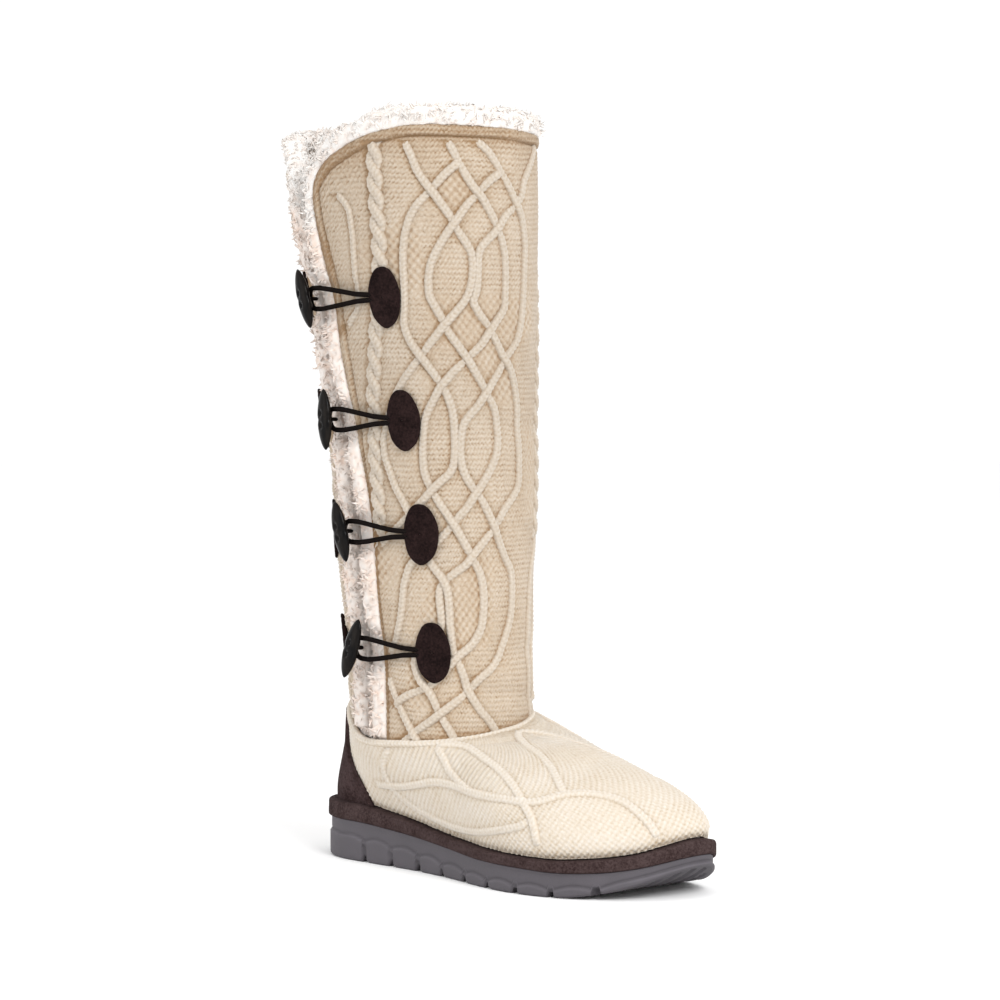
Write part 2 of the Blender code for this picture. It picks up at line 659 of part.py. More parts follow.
def main():
    for old in list(bpy.data.objects):
        bpy.data.objects.remove(old)
    boot = bpy.data.objects.new("boot", None)
    boot.location.x = -HEEL_REST_X * MM
    bpy.context.scene.collection.objects.link(boot)

    knit = material("ivory_knit", (0.80, 0.68, 0.50), 0.9)
    suede = material("brown_suede", (0.045, 0.025, 0.024), 0.95)
    foam = material("sole_foam", (0.10, 0.09, 0.10), 0.7)
    fur = material("cream_fur", (0.85, 0.79, 0.72), 1.0)
    lining = material("fleece_lining", (0.80, 0.74, 0.66), 1.0)
    horn = material("black_toggle", (0.012, 0.012, 0.014), 0.2)
    elastic = material("black_cord", (0.015, 0.012, 0.012), 0.7)

    make_outsole(foam, boot)
    make_welt(suede, boot)
    make_insole(lining, boot)
    make_upper(knit, boot)
    make_counter(suede, boot)
    make_shaft(knit, boot)
    make_fur(fur, boot)
    for number, (z, setback, tilt, pitch) in enumerate(zip(*TOGGLES.values()), 1):
        edge = front_edge(z)
        middle = walk(z, edge, SLIT_WIDTH / 2)
        make_patch(f"patch_front_{number}", z, walk(z, edge, -setback), suede, boot)
        make_patch(f"patch_rear_{number}", z, walk(z, edge, SLIT_WIDTH + REAR_PATCH_SETBACK), suede, boot)
        make_toggle(f"toggle_{number}", z, middle, tilt, pitch, horn, boot)
        front_reach = SLIT_WIDTH / 2 + setback - PATCH_WIDTH / 2
        add_cord(f"cord_loop_{number}", loop_route(z, middle, front_reach), LOOP_DIAMETER, elastic, boot)
        add_cord(f"cord_stem_{number}", stem_route(z, middle), STEM_DIAMETER, elastic, boot)


main()
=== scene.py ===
"""The tall cable-knit boot dressed for its photograph: knitted ground and cable strands, plush fur locks, napped
suede, foam sole, horn toggles and braided elastic. Sizes are in millimetres in the boot's own frame, as in the
model's source: x from the sole's heel to its toe, y to the medial side, z up; each piece is moved into place as it is
made."""

import bpy
import numpy as np
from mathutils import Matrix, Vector


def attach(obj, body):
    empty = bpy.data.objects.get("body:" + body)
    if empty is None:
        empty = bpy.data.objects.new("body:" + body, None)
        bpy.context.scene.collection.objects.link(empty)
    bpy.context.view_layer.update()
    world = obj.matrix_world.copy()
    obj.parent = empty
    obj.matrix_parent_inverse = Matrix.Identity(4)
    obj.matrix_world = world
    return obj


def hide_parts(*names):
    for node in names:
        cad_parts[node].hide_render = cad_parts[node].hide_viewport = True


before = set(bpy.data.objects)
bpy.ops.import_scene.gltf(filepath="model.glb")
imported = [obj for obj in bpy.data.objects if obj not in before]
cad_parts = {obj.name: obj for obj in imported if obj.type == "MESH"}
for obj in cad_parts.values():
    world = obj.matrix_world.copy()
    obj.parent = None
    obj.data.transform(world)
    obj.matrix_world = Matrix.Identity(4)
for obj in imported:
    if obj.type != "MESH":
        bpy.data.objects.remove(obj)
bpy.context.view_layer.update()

MM = 0.001
GAP = 0.3
HEEL_REST_X = 42.0


def table(columns, *rows):
    """A table of sizes, read by the name of its column."""
    return dict(zip(columns.split(), np.array(rows, float).T))


# Sizes that the model's source also has.
RING_POWER = 2.2
SLIT_WIDTH = 31.0
SLIT_RADIUS = 52.0
HEM_WIDTH = 6.0
FRONT_CORNER_ANGLE, FRONT_CORNER_DROP = 46.0, 40.0
REAR_CORNER_ANGLE, REAR_CORNER_DROP = 20.0, 23.0
COLLAR_LINE = 409.5
FOOT_OVERLAP = 1.2
SEAM_GAP = 0.6
PATCH_WIDTH, PATCH_HEIGHT, PATCH_SEAT = 20.0, 33.0, 0.5
REAR_PATCH_SETBACK = 20.0
TOGGLE_LENGTH, TOGGLE_WIDTH, TOGGLE_DEPTH, TOGGLE_LIFT = 34.0, 12.0, 6.5, 5.6
LOOP_RADIUS, LOOP_LIFT, STEM_DIAMETER = 5.8, 2.9, 2.0
BAND_HEIGHT, BAND_INSET = 7.0, 1.2
GROOVE_FIRST_X, GROOVE_PITCH, GROOVES, GROOVE_WIDTH, GROOVE_DEPTH = 54.0, 23.3, 9, 3.6, 3.2
WELT_PROUD = 0.6

OUTLINE = table(
    "x lateral medial",
    (0, 0, 0), (9, 21, 20), (30, 33, 32), (62, 35, 34.5), (98, 36, 35), (133, 41, 40.5), (165, 48.5, 47),
    (192, 51, 50.5), (218, 46.5, 49), (240, 36, 44), (258, 20, 35), (269, 1, 24), (272, -14, 14),
)
LEVELS = table(
    "x bottom seam top",
    (0, 0.8, 22, 32), (12, 0, 22, 32), (50, 0, 22, 32), (76, 0, 20.4, 29), (102, 0, 18.3, 25.3),
    (125, 0, 16.4, 22.5), (150, 0, 14.7, 20.9), (200, 0, 13.6, 19.4), (218, 0, 13.0, 19.3),
    (233, 1.6, 13.5, 20.4), (248, 4.8, 15.0, 22.1), (260, 9.6, 17.6, 25.0), (272, 16.5, 22.5, 31),
)
FOOT = table(
    "x inset angle rise lean reach drop",
    (0, 6.5, 180, 20, 1, 0, 20), (30, 6.0, 150, 20, 2, 0, 20), (60, 5.0, 120, 20, 4, 0, 18),
    (95, 4.2, 92, 20, 6, 0, 16), (130, 4.0, 68, 22, 7, 0.2, 9), (165, 4.0, 48, 24, 7, 0.42, 8),
    (200, 4.0, 31, 25, 8, 0.52, 9), (235, 4.0, 17, 25, 9, 0.57, 11), (258, 4.0, 8, 24, 9, 0.6, 12),
    (272, 4.0, 0, 23, 9, 0.6, 12),
)
SHAFT = table(
    "z centre depth width lateral",
    (60, 80.1, 57.8, 42, 0), (91, 80.1, 57.8, 42, 0), (125, 79.8, 58.1, 43, 1), (153, 79.0, 60.1, 45, 2),
    (209, 78.7, 61.7, 48, 3), (265, 74.1, 66.6, 51, 4), (321, 70.6, 70.7, 54, 5), (363, 65.0, 78.4, 56.5, 6),
    (430, 60.5, 80.6, 58.5, 6),
)
FOOT_SEAM = table(
    "angle z", (-180, 94), (-145, 88), (-95, 80), (-40, 86), (-11, 82), (30, 76.5), (75, 72.5), (112, 72.5),
    (145, 87), (180, 94),
)
COLLAR = table("angle z", (130, 404), (200, 404), (270, 403), (320, 405), (360, 408), (400, 409.5), (470, 409.5))
SLIT = table("z angle", (60, 90), (130, 90), (200, 91.5), (250, 95), (290, 100), (330, 103), (371, 104), (430, 104))
TOGGLES = table("z setback tilt pitch", (316, 43.5, 14, 8), (249, 37.5, 5, 0), (187, 36, 9, 7), (122, 36, -14, -8))
COUNTER = table("rise x", (0.0, 57), (0.3, 47), (0.6, 37), (1.0, 31))
FUR_ROOM = table("beside lift", (0, -1.8), (8.6, -1.8), (16, 2.6), (20, 5.0), (24, 8.0))
LOOP = table("share apart", (0, 1.45), (0.2, 2.0), (0.4, 3.4), (0.6, 4.8), (0.8, LOOP_RADIUS), (1, LOOP_RADIUS))
STEM = table("across lift", (0, 5.2), (0.6, 1.2), (3, 0.1), (8, 0.1), (14.5, 2.2), (20, 2.2), (25.2, 1.6))

# Sizes of this scene's own: the loops' cord, 0.2 mm thicker than the source's, the toggles' cord holes, the bars under
# the sole, the counter's top as a share of the foot's rise, and the feather line's places round the foot.
LOOP_DIAMETER = 2.8
CORD_HOLE, CORD_HOLE_RADIUS = 3.4, 1.3
BAR_PITCH, BAR_HEIGHT = 9.0, 1.3
COUNTER_TOP = 0.955
FOOT_ROUND = 544
# The patch's rolled rim and its sunk seam: share of its half size and lift.
PATCH_RIM = table(
    "share lift",
    (0.9, -1.0), (1.0, 0.3), (1.015, 0.9), (1.0, 1.35), (0.975, 1.6), (0.94, 1.68), (0.9, 1.62), (0.87, 1.5),
    (0.84, 1.62), (0.8, 1.72),
)
# The fur's section, which begins a little further over the hem than the source's.
FUR = table(
    "out lift",
    (-0.6, -3.7), (-0.6, 0.3), (4.0, 2.6), (9.0, 2.2), (12.3, -0.6), (12.6, -5.0), (9.6, -9.6), (3.5, -12.0),
    (-3.0, -11.0), (-7.0, -7.4), (-6.5, -3.7),
)

# The knit: pitch of its rows and stitches, how far the ground lies under the model's face, the strands' size, the
# girth that the shaft's pattern is laid out on, and the lift of the ground's rims.
ROW = 2.75
STITCH = 2.6
GROUND_LIFT = -0.9
STRAND_WIDTH = 5.0
STRAND_HEIGHT = 0.45
STRAND_SINK = 2.2
KNIT_GIRTH = 369.0
RIM_LIFT = -1.5
# Where the finer front panel of the knit begins, as a share of the way round from the rear edge.
PANEL_SEAM = 0.60
# Pitch of the foot's moss stitches.
MOSS_STITCH = 1.9

# The shaft's creases: depth, height where they cross the pivot's angle, slant, half width, and how far to either side
# of a middle angle they reach, where they have faded out over so many degrees.
CREASES = table(
    "depth height slant pivot width middle reach fade",
    (1.2, 99, 0.12, 0, 5, 10, 60, 40),
    (0.8, 118, -0.10, 20, 6, -15, 50, 40),
    (0.9, 246, 0.06, 0, 7, -12, 45, 30),
    (0.7, 172, -0.08, 0, 8, 20, 50, 40),
)
# The foot's two creases in front of the shaft: depth, x on the middle line, slant, half width and lowest rise.
INSTEP_CREASES = table("depth x slant width lowest", (0.8, 205, 0.25, 5, 0.55), (0.6, 188, 0.35, 4, 0.7))

# The fur: steps along its path, clumps along and round it, and locks for each step.
FUR_STEP = 2.0
TUFT = 4.6
TUFTS_ROUND = 12
LOCKS = 13.5
# Painted shade: how much darker and more beige the fur is down the slit.
FUR_SLIT_SHADE = 0.3
# The middle of the roll's section, and steps of its path along each flap.
FUR_CORE = (3.5, -5.0)
FLAP_STEPS = 165
# The hairs' least and greatest length, radius and curl.
HAIR_LENGTH, HAIR_RADIUS, HAIR_CURL = (3.4, 5.6), (0.55, 0.95), (0.6, 1.6)


def curve(sizes, column, at, key):
    """A smooth curve through one column of a table: cubics whose slopes are the table's own mean slopes."""
    xs, ys = sizes[key], sizes[column]
    slopes = np.gradient(ys, xs)
    at = np.clip(at, xs[0], xs[-1])
    k = np.clip(np.searchsorted(xs, at, side="right") - 1, 0, len(xs) - 2)
    width = xs[k + 1] - xs[k]
    t = (at - xs[k]) / width
    start = (1 - t) ** 2 * ((1 + 2 * t) * ys[k] + t * width * slopes[k])
    end = t**2 * ((3 - 2 * t) * ys[k + 1] - (1 - t) * width * slopes[k + 1])
    return start + end


def ease(t):
    """0 to 1 with level ends."""
    t = np.clip(t, 0, 1)
    return t * t * (3 - 2 * t)


def hump(distance, width):
    """A bell curve of the given half width."""
    return np.exp(-((distance / width) ** 2))


def noise(x, y, seed):
    """Smooth noise from -1 to 1: random values on a lattice of unit squares, eased from corner to corner."""
    values = np.random.default_rng(seed).uniform(-1, 1, (64, 64))
    x, y = np.broadcast_arrays(np.asarray(x, float), np.asarray(y, float))
    i, j = np.floor(x).astype(int), np.floor(y).astype(int)
    u, v = ease(x - i), ease(y - j)
    near = values[i % 64, j % 64] * (1 - u) + values[(i + 1) % 64, j % 64] * u
    far = values[i % 64, (j + 1) % 64] * (1 - u) + values[(i + 1) % 64, (j + 1) % 64] * u
    return near * (1 - v) + far * v


def rough(x, y, seed):
    """Noise summed over three octaves, each half as high and twice as fine as the one before."""
    return sum(noise(x * 2**k, y * 2**k, seed + k) / 2**k for k in range(3))


def paired(first, second):
    """Two arrays, brought to one shape, as the two coordinates of points."""
    return np.stack(np.broadcast_arrays(first, second), -1)


def along_path(points):
    """Distance along a path at each of its points."""
    return np.r_[0, np.linalg.norm(np.diff(points, axis=0), axis=1).cumsum()]


def unit(vectors):
    return vectors / np.maximum(np.linalg.norm(vectors, axis=-1, keepdims=True), 1e-9)


# The boot's own surfaces.


def signed(angle):
    """The same angle between -180 and 180."""
    return (angle + 180) % 360 - 180


def ring(angle, z, lift=0.0):
    """A point on the shaft's outer face: a superellipse at each height, then out along its normal by lift."""
    angle, z, lift = np.broadcast_arrays(np.asarray(angle, float), np.asarray(z, float), np.asarray(lift, float))
    centre, depth, width, lateral = (curve(SHAFT, name, z, "z") for name in ("centre", "depth", "width", "lateral"))

    def place(degrees):
        c, s = np.cos(np.radians(degrees)), np.sin(np.radians(degrees))
        x = centre + depth * np.sign(c) * np.abs(c) ** (2 / RING_POWER)
        y = -lateral - width * np.sign(s) * np.abs(s) ** (2 / RING_POWER)
        return x, y

    x, y = place(angle)
    before, after = place(angle - 0.5), place(angle + 0.5)
    along = np.stack([after[0] - before[0], after[1] - before[1]])
    along /= np.linalg.norm(along, axis=0)
    return np.stack([x - along[1] * lift, y + along[0] * lift, z + 0 * x], -1)


def ring_normal(angle, z):
    return ring(angle, z, 1.0) - ring(angle, z)


def mm_per_degree(angle, z):
    return np.linalg.norm(ring(angle + 0.5, z) - ring(angle - 0.5, z), axis=-1)


def walk(z, angle, distance):
    """The angle reached from another one by going round the ring at height z, towards the rear if positive."""
    angles = angle + np.linspace(-90, 90, 721)
    gone = along_path(ring(angles, z)[:, :2])
    return np.interp(gone[360] + distance, gone, angles)


def front_edge(z):
    return curve(SLIT, "angle", z, "z")


EDGE_HEIGHTS = np.linspace(60, 430, 75)
REAR_EDGE = np.array([walk(z, front_edge(z), SLIT_WIDTH) for z in EDGE_HEIGHTS])


def rear_edge(z):
    return np.interp(z, EDGE_HEIGHTS, REAR_EDGE)


def seam_height(angle):
    return curve(FOOT_SEAM, "z", signed(angle), "angle")


def between_edges(z, share):
    """The angle at height z at a share of the way from the rear edge, 0, round to the front edge, 1."""
    return rear_edge(z) + share * (360 + front_edge(z) - rear_edge(z))


def hem_width(z):
    """The hem along the slit, wide at the collar and almost gone lower down."""
    return 1.2 + (HEM_WIDTH - 1.2) * ease((z - 215) / 75)


def collar_height(angle):
    """The shaft's top edge, between the rear edge and 360 degrees past the front edge, with its two round corners."""
    front = 360 + front_edge(COLLAR_LINE - FRONT_CORNER_DROP)
    rear = rear_edge(COLLAR_LINE - REAR_CORNER_DROP)
    near_front = np.clip((angle - 360 - FRONT_CORNER_ANGLE) / (front - 360 - FRONT_CORNER_ANGLE), 0, 1)
    near_rear = np.clip((rear + REAR_CORNER_ANGLE - angle) / REAR_CORNER_ANGLE, 0, 1)
    drop = FRONT_CORNER_DROP * (1 - np.sqrt(1 - near_front**2))
    drop += REAR_CORNER_DROP * (1 - np.sqrt(1 - near_rear**2))
    return curve(COLLAR, "z", angle, "angle") - drop


def shaft_panel(first, last, across, up):
    """Angles, heights and shares of a panel's points. The share runs from the rear edge, 0, to the front edge, 1."""
    share = np.linspace(last, first, across)
    top_angle = between_edges(COLLAR_LINE, share)
    low_angle = top_angle
    for _ in range(3):
        bottom = seam_height(low_angle) + SEAM_GAP / 2
        low_angle = between_edges(bottom, share)
    z = bottom + np.linspace(0, 1, up)[:, None] * (collar_height(top_angle) - bottom)
    return between_edges(z, share), z, np.broadcast_to(share, z.shape)


def outline_curve():
    """The sole's closed outline, a Catmull-Rom curve from the heel along the lateral side and back."""
    lateral = np.c_[OUTLINE["x"], -OUTLINE["lateral"]]
    medial = np.c_[OUTLINE["x"], OUTLINE["medial"]]
    knots = np.concatenate([lateral, medial[-2:0:-1]])
    t = np.arange(len(knots) * 80) / 80
    k = t.astype(int)
    f = (t - k)[:, None]
    a, b, c, d = (knots[(k + step) % len(knots)] for step in (-1, 0, 1, 2))
    return b + f * (c - a) / 2 + f**2 * (2 * a - 5 * b + 4 * c - d) / 2 + f**3 * (3 * b - a - 3 * c + d) / 2


EDGE = outline_curve()
EDGE_TANGENT = np.roll(EDGE, -1, axis=0) - np.roll(EDGE, 1, axis=0)
EDGE_INWARD = unit(np.c_[-EDGE_TANGENT[:, 1], EDGE_TANGENT[:, 0]])
TOE_INDEX = int(EDGE[:, 0].argmax())


def sole_loop(stations, inset):
    """The outline at the given x stations, out along the lateral side and back along the medial one, moved in."""
    closed = np.arange(len(EDGE) + 1) % len(EDGE)
    lateral, medial = closed[: TOE_INDEX + 1], closed[TOE_INDEX:][::-1]
    moved = EDGE + EDGE_INWARD * inset
    sides = []
    for side, xs in ((lateral, stations), (medial, stations[-2:0:-1])):
        sides.append(np.stack([np.interp(xs, EDGE[side, 0], moved[side, axis]) for axis in (0, 1)], -1))
    return np.concatenate(sides)


def feather_line(stations):
    """The sole's outline at the stations, and the way in from it at each point."""
    edge = sole_loop(stations, 0)
    return edge, sole_loop(stations, 1) - edge


def two_sides(loop, half):
    """A sole loop's lateral side and its medial one, both from heel to toe."""
    return loop[:half], np.concatenate([loop[:1], loop[half:][::-1], loop[half - 1 : half]])


def there_and_back(values):
    return np.concatenate([values, values[-2:0:-1]])


def stations_for(count):
    """Stations from heel to toe, closer together at the two round ends."""
    first, last = EDGE[:, 0].min(), EDGE[:, 0].max()
    return first + (last - first) * (1 - np.cos(np.linspace(0, np.pi, count))) / 2


def even_stations(count):
    """Stations from heel to toe at even steps along the outline's lateral side."""
    side = EDGE[: TOE_INDEX + 1]
    gone = along_path(side)
    return np.interp(np.linspace(0, gone[-1], count), gone, side[:, 0])


def foot_surface(stations, rise):
    """The knit foot's outer face: from each point of the feather line a cubic climbs to the shaft's ring."""
    angle, up, lean, reach, drop = (
        there_and_back(curve(FOOT, name, stations, "x")) for name in ("angle", "rise", "lean", "reach", "drop")
    )
    angle[len(stations) :] *= -1
    inset = there_and_back(curve(FOOT, "inset", stations, "x"))[:, None]
    edge = sole_loop(stations, 0)
    outward = edge - sole_loop(stations, 1)
    flat = edge - inset * outward
    seat = there_and_back(curve(LEVELS, "top", stations, "x") + GAP)
    start = np.c_[flat, seat]
    first = np.c_[flat + outward * lean[:, None], seat + up]
    end = ring(angle, seam_height(angle) - SEAM_GAP / 2, FOOT_OVERLAP)
    second = end + (start - end) * reach[:, None] * (1, 1, 0)
    second[:, 2] = end[:, 2] - drop
    t = np.asarray(rise)[:, None, None]
    return (1 - t) ** 3 * start + 3 * (1 - t) ** 2 * t * first + 3 * (1 - t) * t**2 * second + t**3 * end


def closed_normals(face):
    """Unit normals of a grid whose columns close round the foot."""
    along = np.roll(face, -1, axis=1) - np.roll(face, 1, axis=1)
    return unit(np.cross(along, np.gradient(face, axis=0)))


FOOT_STATIONS = even_stations(366)
FOOT_RISE = np.linspace(0, 1, 117)
FOOT_FACE = foot_surface(FOOT_STATIONS, FOOT_RISE)
FOOT_NORMAL = closed_normals(FOOT_FACE)
FOOT_ALONG = np.r_[FOOT_STATIONS, 2 * FOOT_STATIONS[-1] - FOOT_STATIONS[-2:0:-1]]


def on_foot(grid, along, rise):
    """A grid of the foot read between its points, at places along the feather line and shares of its rise."""
    column = np.interp(along, FOOT_ALONG, np.arange(len(FOOT_ALONG)))
    row = np.clip(rise, 0, 1) * (len(FOOT_RISE) - 1)
    r, c = np.minimum(row.astype(int), len(FOOT_RISE) - 2), column.astype(int)
    after = (c + 1) % len(FOOT_ALONG)
    v, u = (row - r)[..., None], (column - c)[..., None]
    low = grid[r, c] * (1 - u) + grid[r, after] * u
    high = grid[r + 1, c] * (1 - u) + grid[r + 1, after] * u
    return low * (1 - v) + high * v


# Strands in the photograph.

# Its camera, 47 degrees round from the toe's side and 1.9 m from the shaft's line, in the boot's own frame: where it
# stands, what it faces, and the pixels of its picture's middle and of its focal length.
PHOTO_TURN, PHOTO_AWAY, PHOTO_HEIGHT = np.radians(47.0), 1900.0, 285.0
PHOTO_AIM = np.array((129.0, 0.0, 205.0))
PHOTO_EYE = np.array((PHOTO_AIM[0] + PHOTO_AWAY * np.sin(PHOTO_TURN), -PHOTO_AWAY * np.cos(PHOTO_TURN), PHOTO_HEIGHT))
PHOTO_MIDDLE, PHOTO_FOCUS = 500.0, 1.82 * PHOTO_AWAY

# Points of strands, listed in pixels from its upper left corner: three runs on the shaft.
ELBOW_SEEN = ((467.4, 564.7), (457.4, 571.3), (447.5, 578.8))
LOW_RISE_SEEN = ((402.5, 584.5), (401.2, 601), (399.6, 616))
EDGE_SEEN = ((354.9, 284), (356.8, 305), (353, 315), (348, 324), (338, 339))
# The same on the foot.
INSTEP_SEEN = ((495, 765), (505, 775), (512, 785))
INSTEP_LOW_SEEN = ((533, 832),)
VAMP_SEEN = ((550, 767), (557, 780))
SIDE_SEEN = (
    (392, 787), (415, 785), (432, 782), (450, 784), (470, 792), (490, 797), (510, 800), (525, 802), (540, 799),
    (557, 794), (575, 791), (590, 792),
)
TOE_SEEN = ((625, 800), (637, 810), (647, 822))
ANKLE_SEEN = ((442, 760), (447, 770), (457, 782))
HEEL_SEEN = ((387, 750), (382, 762), (383, 775), (390, 787))


def in_photo(points):
    """Where points of the boot show in the photograph, in its pixels."""
    ahead = unit(PHOTO_AIM - PHOTO_EYE)
    right = unit(np.cross(ahead, (0, 0, 1)))
    way = points - PHOTO_EYE
    seen = np.stack([way @ right, -way @ np.cross(right, ahead)], -1)
    return PHOTO_MIDDLE + PHOTO_FOCUS * seen / (way @ ahead)[..., None]


def nearest_places(face, places, spots, hidden=0):
    """For each spot in the photograph, the place of the face's point that shows nearest to it; hidden ones are out."""
    shown = in_photo(face)
    nearest = [(np.linalg.norm(shown - spot, axis=-1) + 2 * PHOTO_MIDDLE * hidden).argmin() for spot in spots]
    return places.reshape(-1, 2)[nearest]


def shaft_places(spots):
    """Heights and angles on the shaft, to half a millimetre and half a degree, of spots in the photograph."""
    angle, z = np.meshgrid(np.arange(-30, 112, 0.5), np.arange(60, 412, 0.5))
    return nearest_places(ring(angle, z), np.stack([z, angle], -1), spots)


def foot_places(spots):
    """Places along the feather line, to a millimetre, and shares of the foot's rise, to a hundredth, of spots in the
    photograph."""
    stations = np.linspace(EDGE[:, 0].min() + 0.01, EDGE[:, 0].max() - 0.01, 272)
    rise = np.linspace(0, 1, 121)
    face = foot_surface(stations, rise)
    hidden = ((PHOTO_EYE - face) * closed_normals(face)).sum(-1) <= 0
    along = np.r_[stations, FOOT_ROUND - stations[-2:0:-1]]
    hundredths = np.array([round(share, 2) for share in rise.tolist()])[:, None]
    places = paired(along.round(), hundredths)
    return nearest_places(face, places, spots, hidden)


# The lattice panel's six strands from the collar down: height and angle, read off a drawing of the photograph
# unrolled round the shaft.
LATTICE = (
    ((402, 56), (392, 52), (385, 50), (379, 46.7), (372, 41.7), (366, 38), (359, 33.3), (352, 30), (345, 25),
     (340, 22), (333, 21.3), (325, 22), (318, 24), (314, 26.5), (309, 31), (305, 35), (301, 39), (296, 43),
     (291, 47.5), (287, 50.5), (283, 54), (277, 59), (271, 64), (262, 70), (250, 76), (240, 79), (229, 79),
     (222, 77), (212, 74), (205, 70), (196, 65), (187, 61), (178, 58), (170.5, 54), (166, 49.8), (162.5, 46.3),
     (157, 44), (151.5, 43.3), (145, 43.2), (139, 43.3), (131, 43), (125, 42.5), (121, 41.5), (115.5, 38),
     (108.5, 35), (101.5, 33), (94.5, 27.5), (88.5, 22), (85, 17), (70, 4)),
    ((402, -30), (394, -23), (386, -16), (380, -11), (370, -8), (365, -3), (361, 1.7), (352, 7.5), (348, 11.7),
     (344, 15.8), (340, 18), (333, 18.3), (325, 18.5), (318, 19.5), (314, 22), (307, 18), (301, 12.5), (296, 9),
     (290, 5.8), (284, 2.5), (277, -2), (271, -4.5), (262, -6.5), (250, -7.5), (225, -7.5), (216, -7.5), (211, -6),
     (207, -2.5),
     (200, 3.3), (194, 7.5), (189, 11.7), (184, 17.5), (177, 25), *shaft_places(ELBOW_SEEN),
     (158.5, 49), (150.5, 49.6), (145, 49), (139, 48.7), (134, 50.5), (129, 55), (125, 61), (121, 66.5),
     (117, 69.5), (112.5, 68.5), (106, 65.5), (102, 60.5), (96, 56.5), (89, 53.5), (83, 49), (79.5, 46), (70, 40)),
    ((402, 34.5), (391, 29), (384, 25.8), (375.6, 20.8), (370, 15.8), (363, 11.7), (355.6, 7.5), (348, 4.2),
     (339, 1.7), (328, 0.8), (319, 0.8), (310, 1), (305.6, 4.2), (302, 7.5), (297, 11.7), (290, 17), (286.7, 21.7),
     (283, 25.8), (279, 30.8), (275.6, 35), (271, 39), (268, 42.5), (261, 46.7), (255, 50.5), (248, 53.5),
     (238, 55), (229, 55.8), (222, 55.8), (215.6, 54), (208, 50), (202, 45.8), (196.7, 41.7), (190, 36.7),
     (182, 31.5), (173, 25.8), (166.7, 21.7), (160, 19.5), (152, 18.8), (143, 19.5), (136, 21), (130, 25),
     (125.5, 29.5), (122, 36), (118, 41.5), (111, 49.5), (104, 57.5), (101, 64.5), (99, 72.5), (94, 81), (91, 84)),
    ((402, 20), (395.5, 11.7), (389, 7.5), (383, 3.3), (378, 0.8), (372, -1.7), (365.5, -5), (360, -8.3),
     (352, -10.8), (343, -12.5), (325, -13), (312, -12.5), (302, -11), (293, -8), (284, 0), (278, 3.5), (273, 7.5),
     (268, 11.5), (263, 15.8), (256.7, 20.5), (253, 25), (250, 28), (246, 30.7), (238, 32.3), (231, 32.8),
     (224, 32), (218, 29.5), (212, 25), (207, 20), (200, 15.8), (193, 11.7), (184, 7.5), (174, 1.7),
     (166.7, -2.5), (158, -3.2), (148, -3), (139, -1.7), (130, 1.7), (125, 4.5), (119, 7.5), (113.5, 13),
     (107.5, 24), (100, 33.5), (95.5, 41), (89, 51.5), (84, 59), (79, 68), (70, 80)),
    ((391, 26.5), (388, 29), (384, 34), (380, 38), (375.6, 41.7), (371, 45.8), (365.6, 50.8), (359, 54.6),
     (350, 57.5), (341, 59), (332, 59.6), (321, 59.8), (310, 60.5), (303, 61.5), (297.8, 60.8), (291, 58),
     (285.5, 54), (280, 50), (274, 45.8), (269, 42.5), (263, 39), (255.6, 36.5), (248, 35.7), (238, 35.7),
     (231, 36.2), (224, 37.5), (220, 40), (216.7, 45), (212, 50.8), (206, 57), (200, 64), (194, 71), (188, 78),
     (183, 84), (178, 89), (172, 94), (164, 98), (152, 100.5), (136, 101), (120, 100), (104, 97.5),
     (88, 94), (70, 91)),
    ((385, 1.5), (382, 7.5), (378, 12.5), (372, 17.5), (368, 22.5), (363, 26.7), (358, 30), (353, 34), (348, 37.5),
     (341, 41.7), (334.4, 45), (325.6, 46.7), (316.7, 46.7), (310, 43.3), (304, 40), (298, 37.5), (293, 34),
     (288, 30), (281, 25), (274, 20.8), (268, 16.7), (261, 12.5), (255.6, 9), (249, 7.5), (240, 7), (231, 8.3),
     (224, 11.7), (218, 15.8), (212, 20.8), (206.7, 25.8), (202, 29), (198, 34), (192, 39.5), (186, 46),
     (180, 54), (175, 61.5), (169.5, 68), *shaft_places(LOW_RISE_SEEN), (134.5, 77.8), (128, 81),
     (121, 85.5), (115, 88), (111.5, 88), (102.5, 85.5), (93.5, 82), (84.5, 76.5), (77, 71), (70, 66)),
)
# How far round the lattice and its rope stand, and stand again twice.
LATTICE_TURNS = (0.0, -124.0, -248.0)
# The strand beside the slit, and the rope cable between the lattice and that strand: height and angle.
EDGE_STRAND = (
    (374, 91), (369, 87), (363.5, 84.8), (350.5, 84.6), (336.5, 85.8), *shaft_places(EDGE_SEEN),
)
ROPE = (
    (402, 70.5), (350, 71), (330, 72.5), (310, 76), (290, 79), (275, 81.5), (255, 84), (235, 85), (215, 85.5),
    (200, 86), (190, 87), (182, 87.5),
)
ROPE_PERIOD = 23.0
ROPE_REACH = 2.7
ROPE_LIFT = 0.85
ROPE_STRAND = 6.4
EDGE_STRAND_WIDTH, FOOT_STRAND_WIDTH, SEAM_STRAND_WIDTH = 4.6, 5.4, 4.2
# Where two strands cross, how far the upper one rises and the lower one sinks, and the half length of either bend.
CROSS_RISE, CROSS_SINK = (0.75, 5.0), (1.0, 3.6)

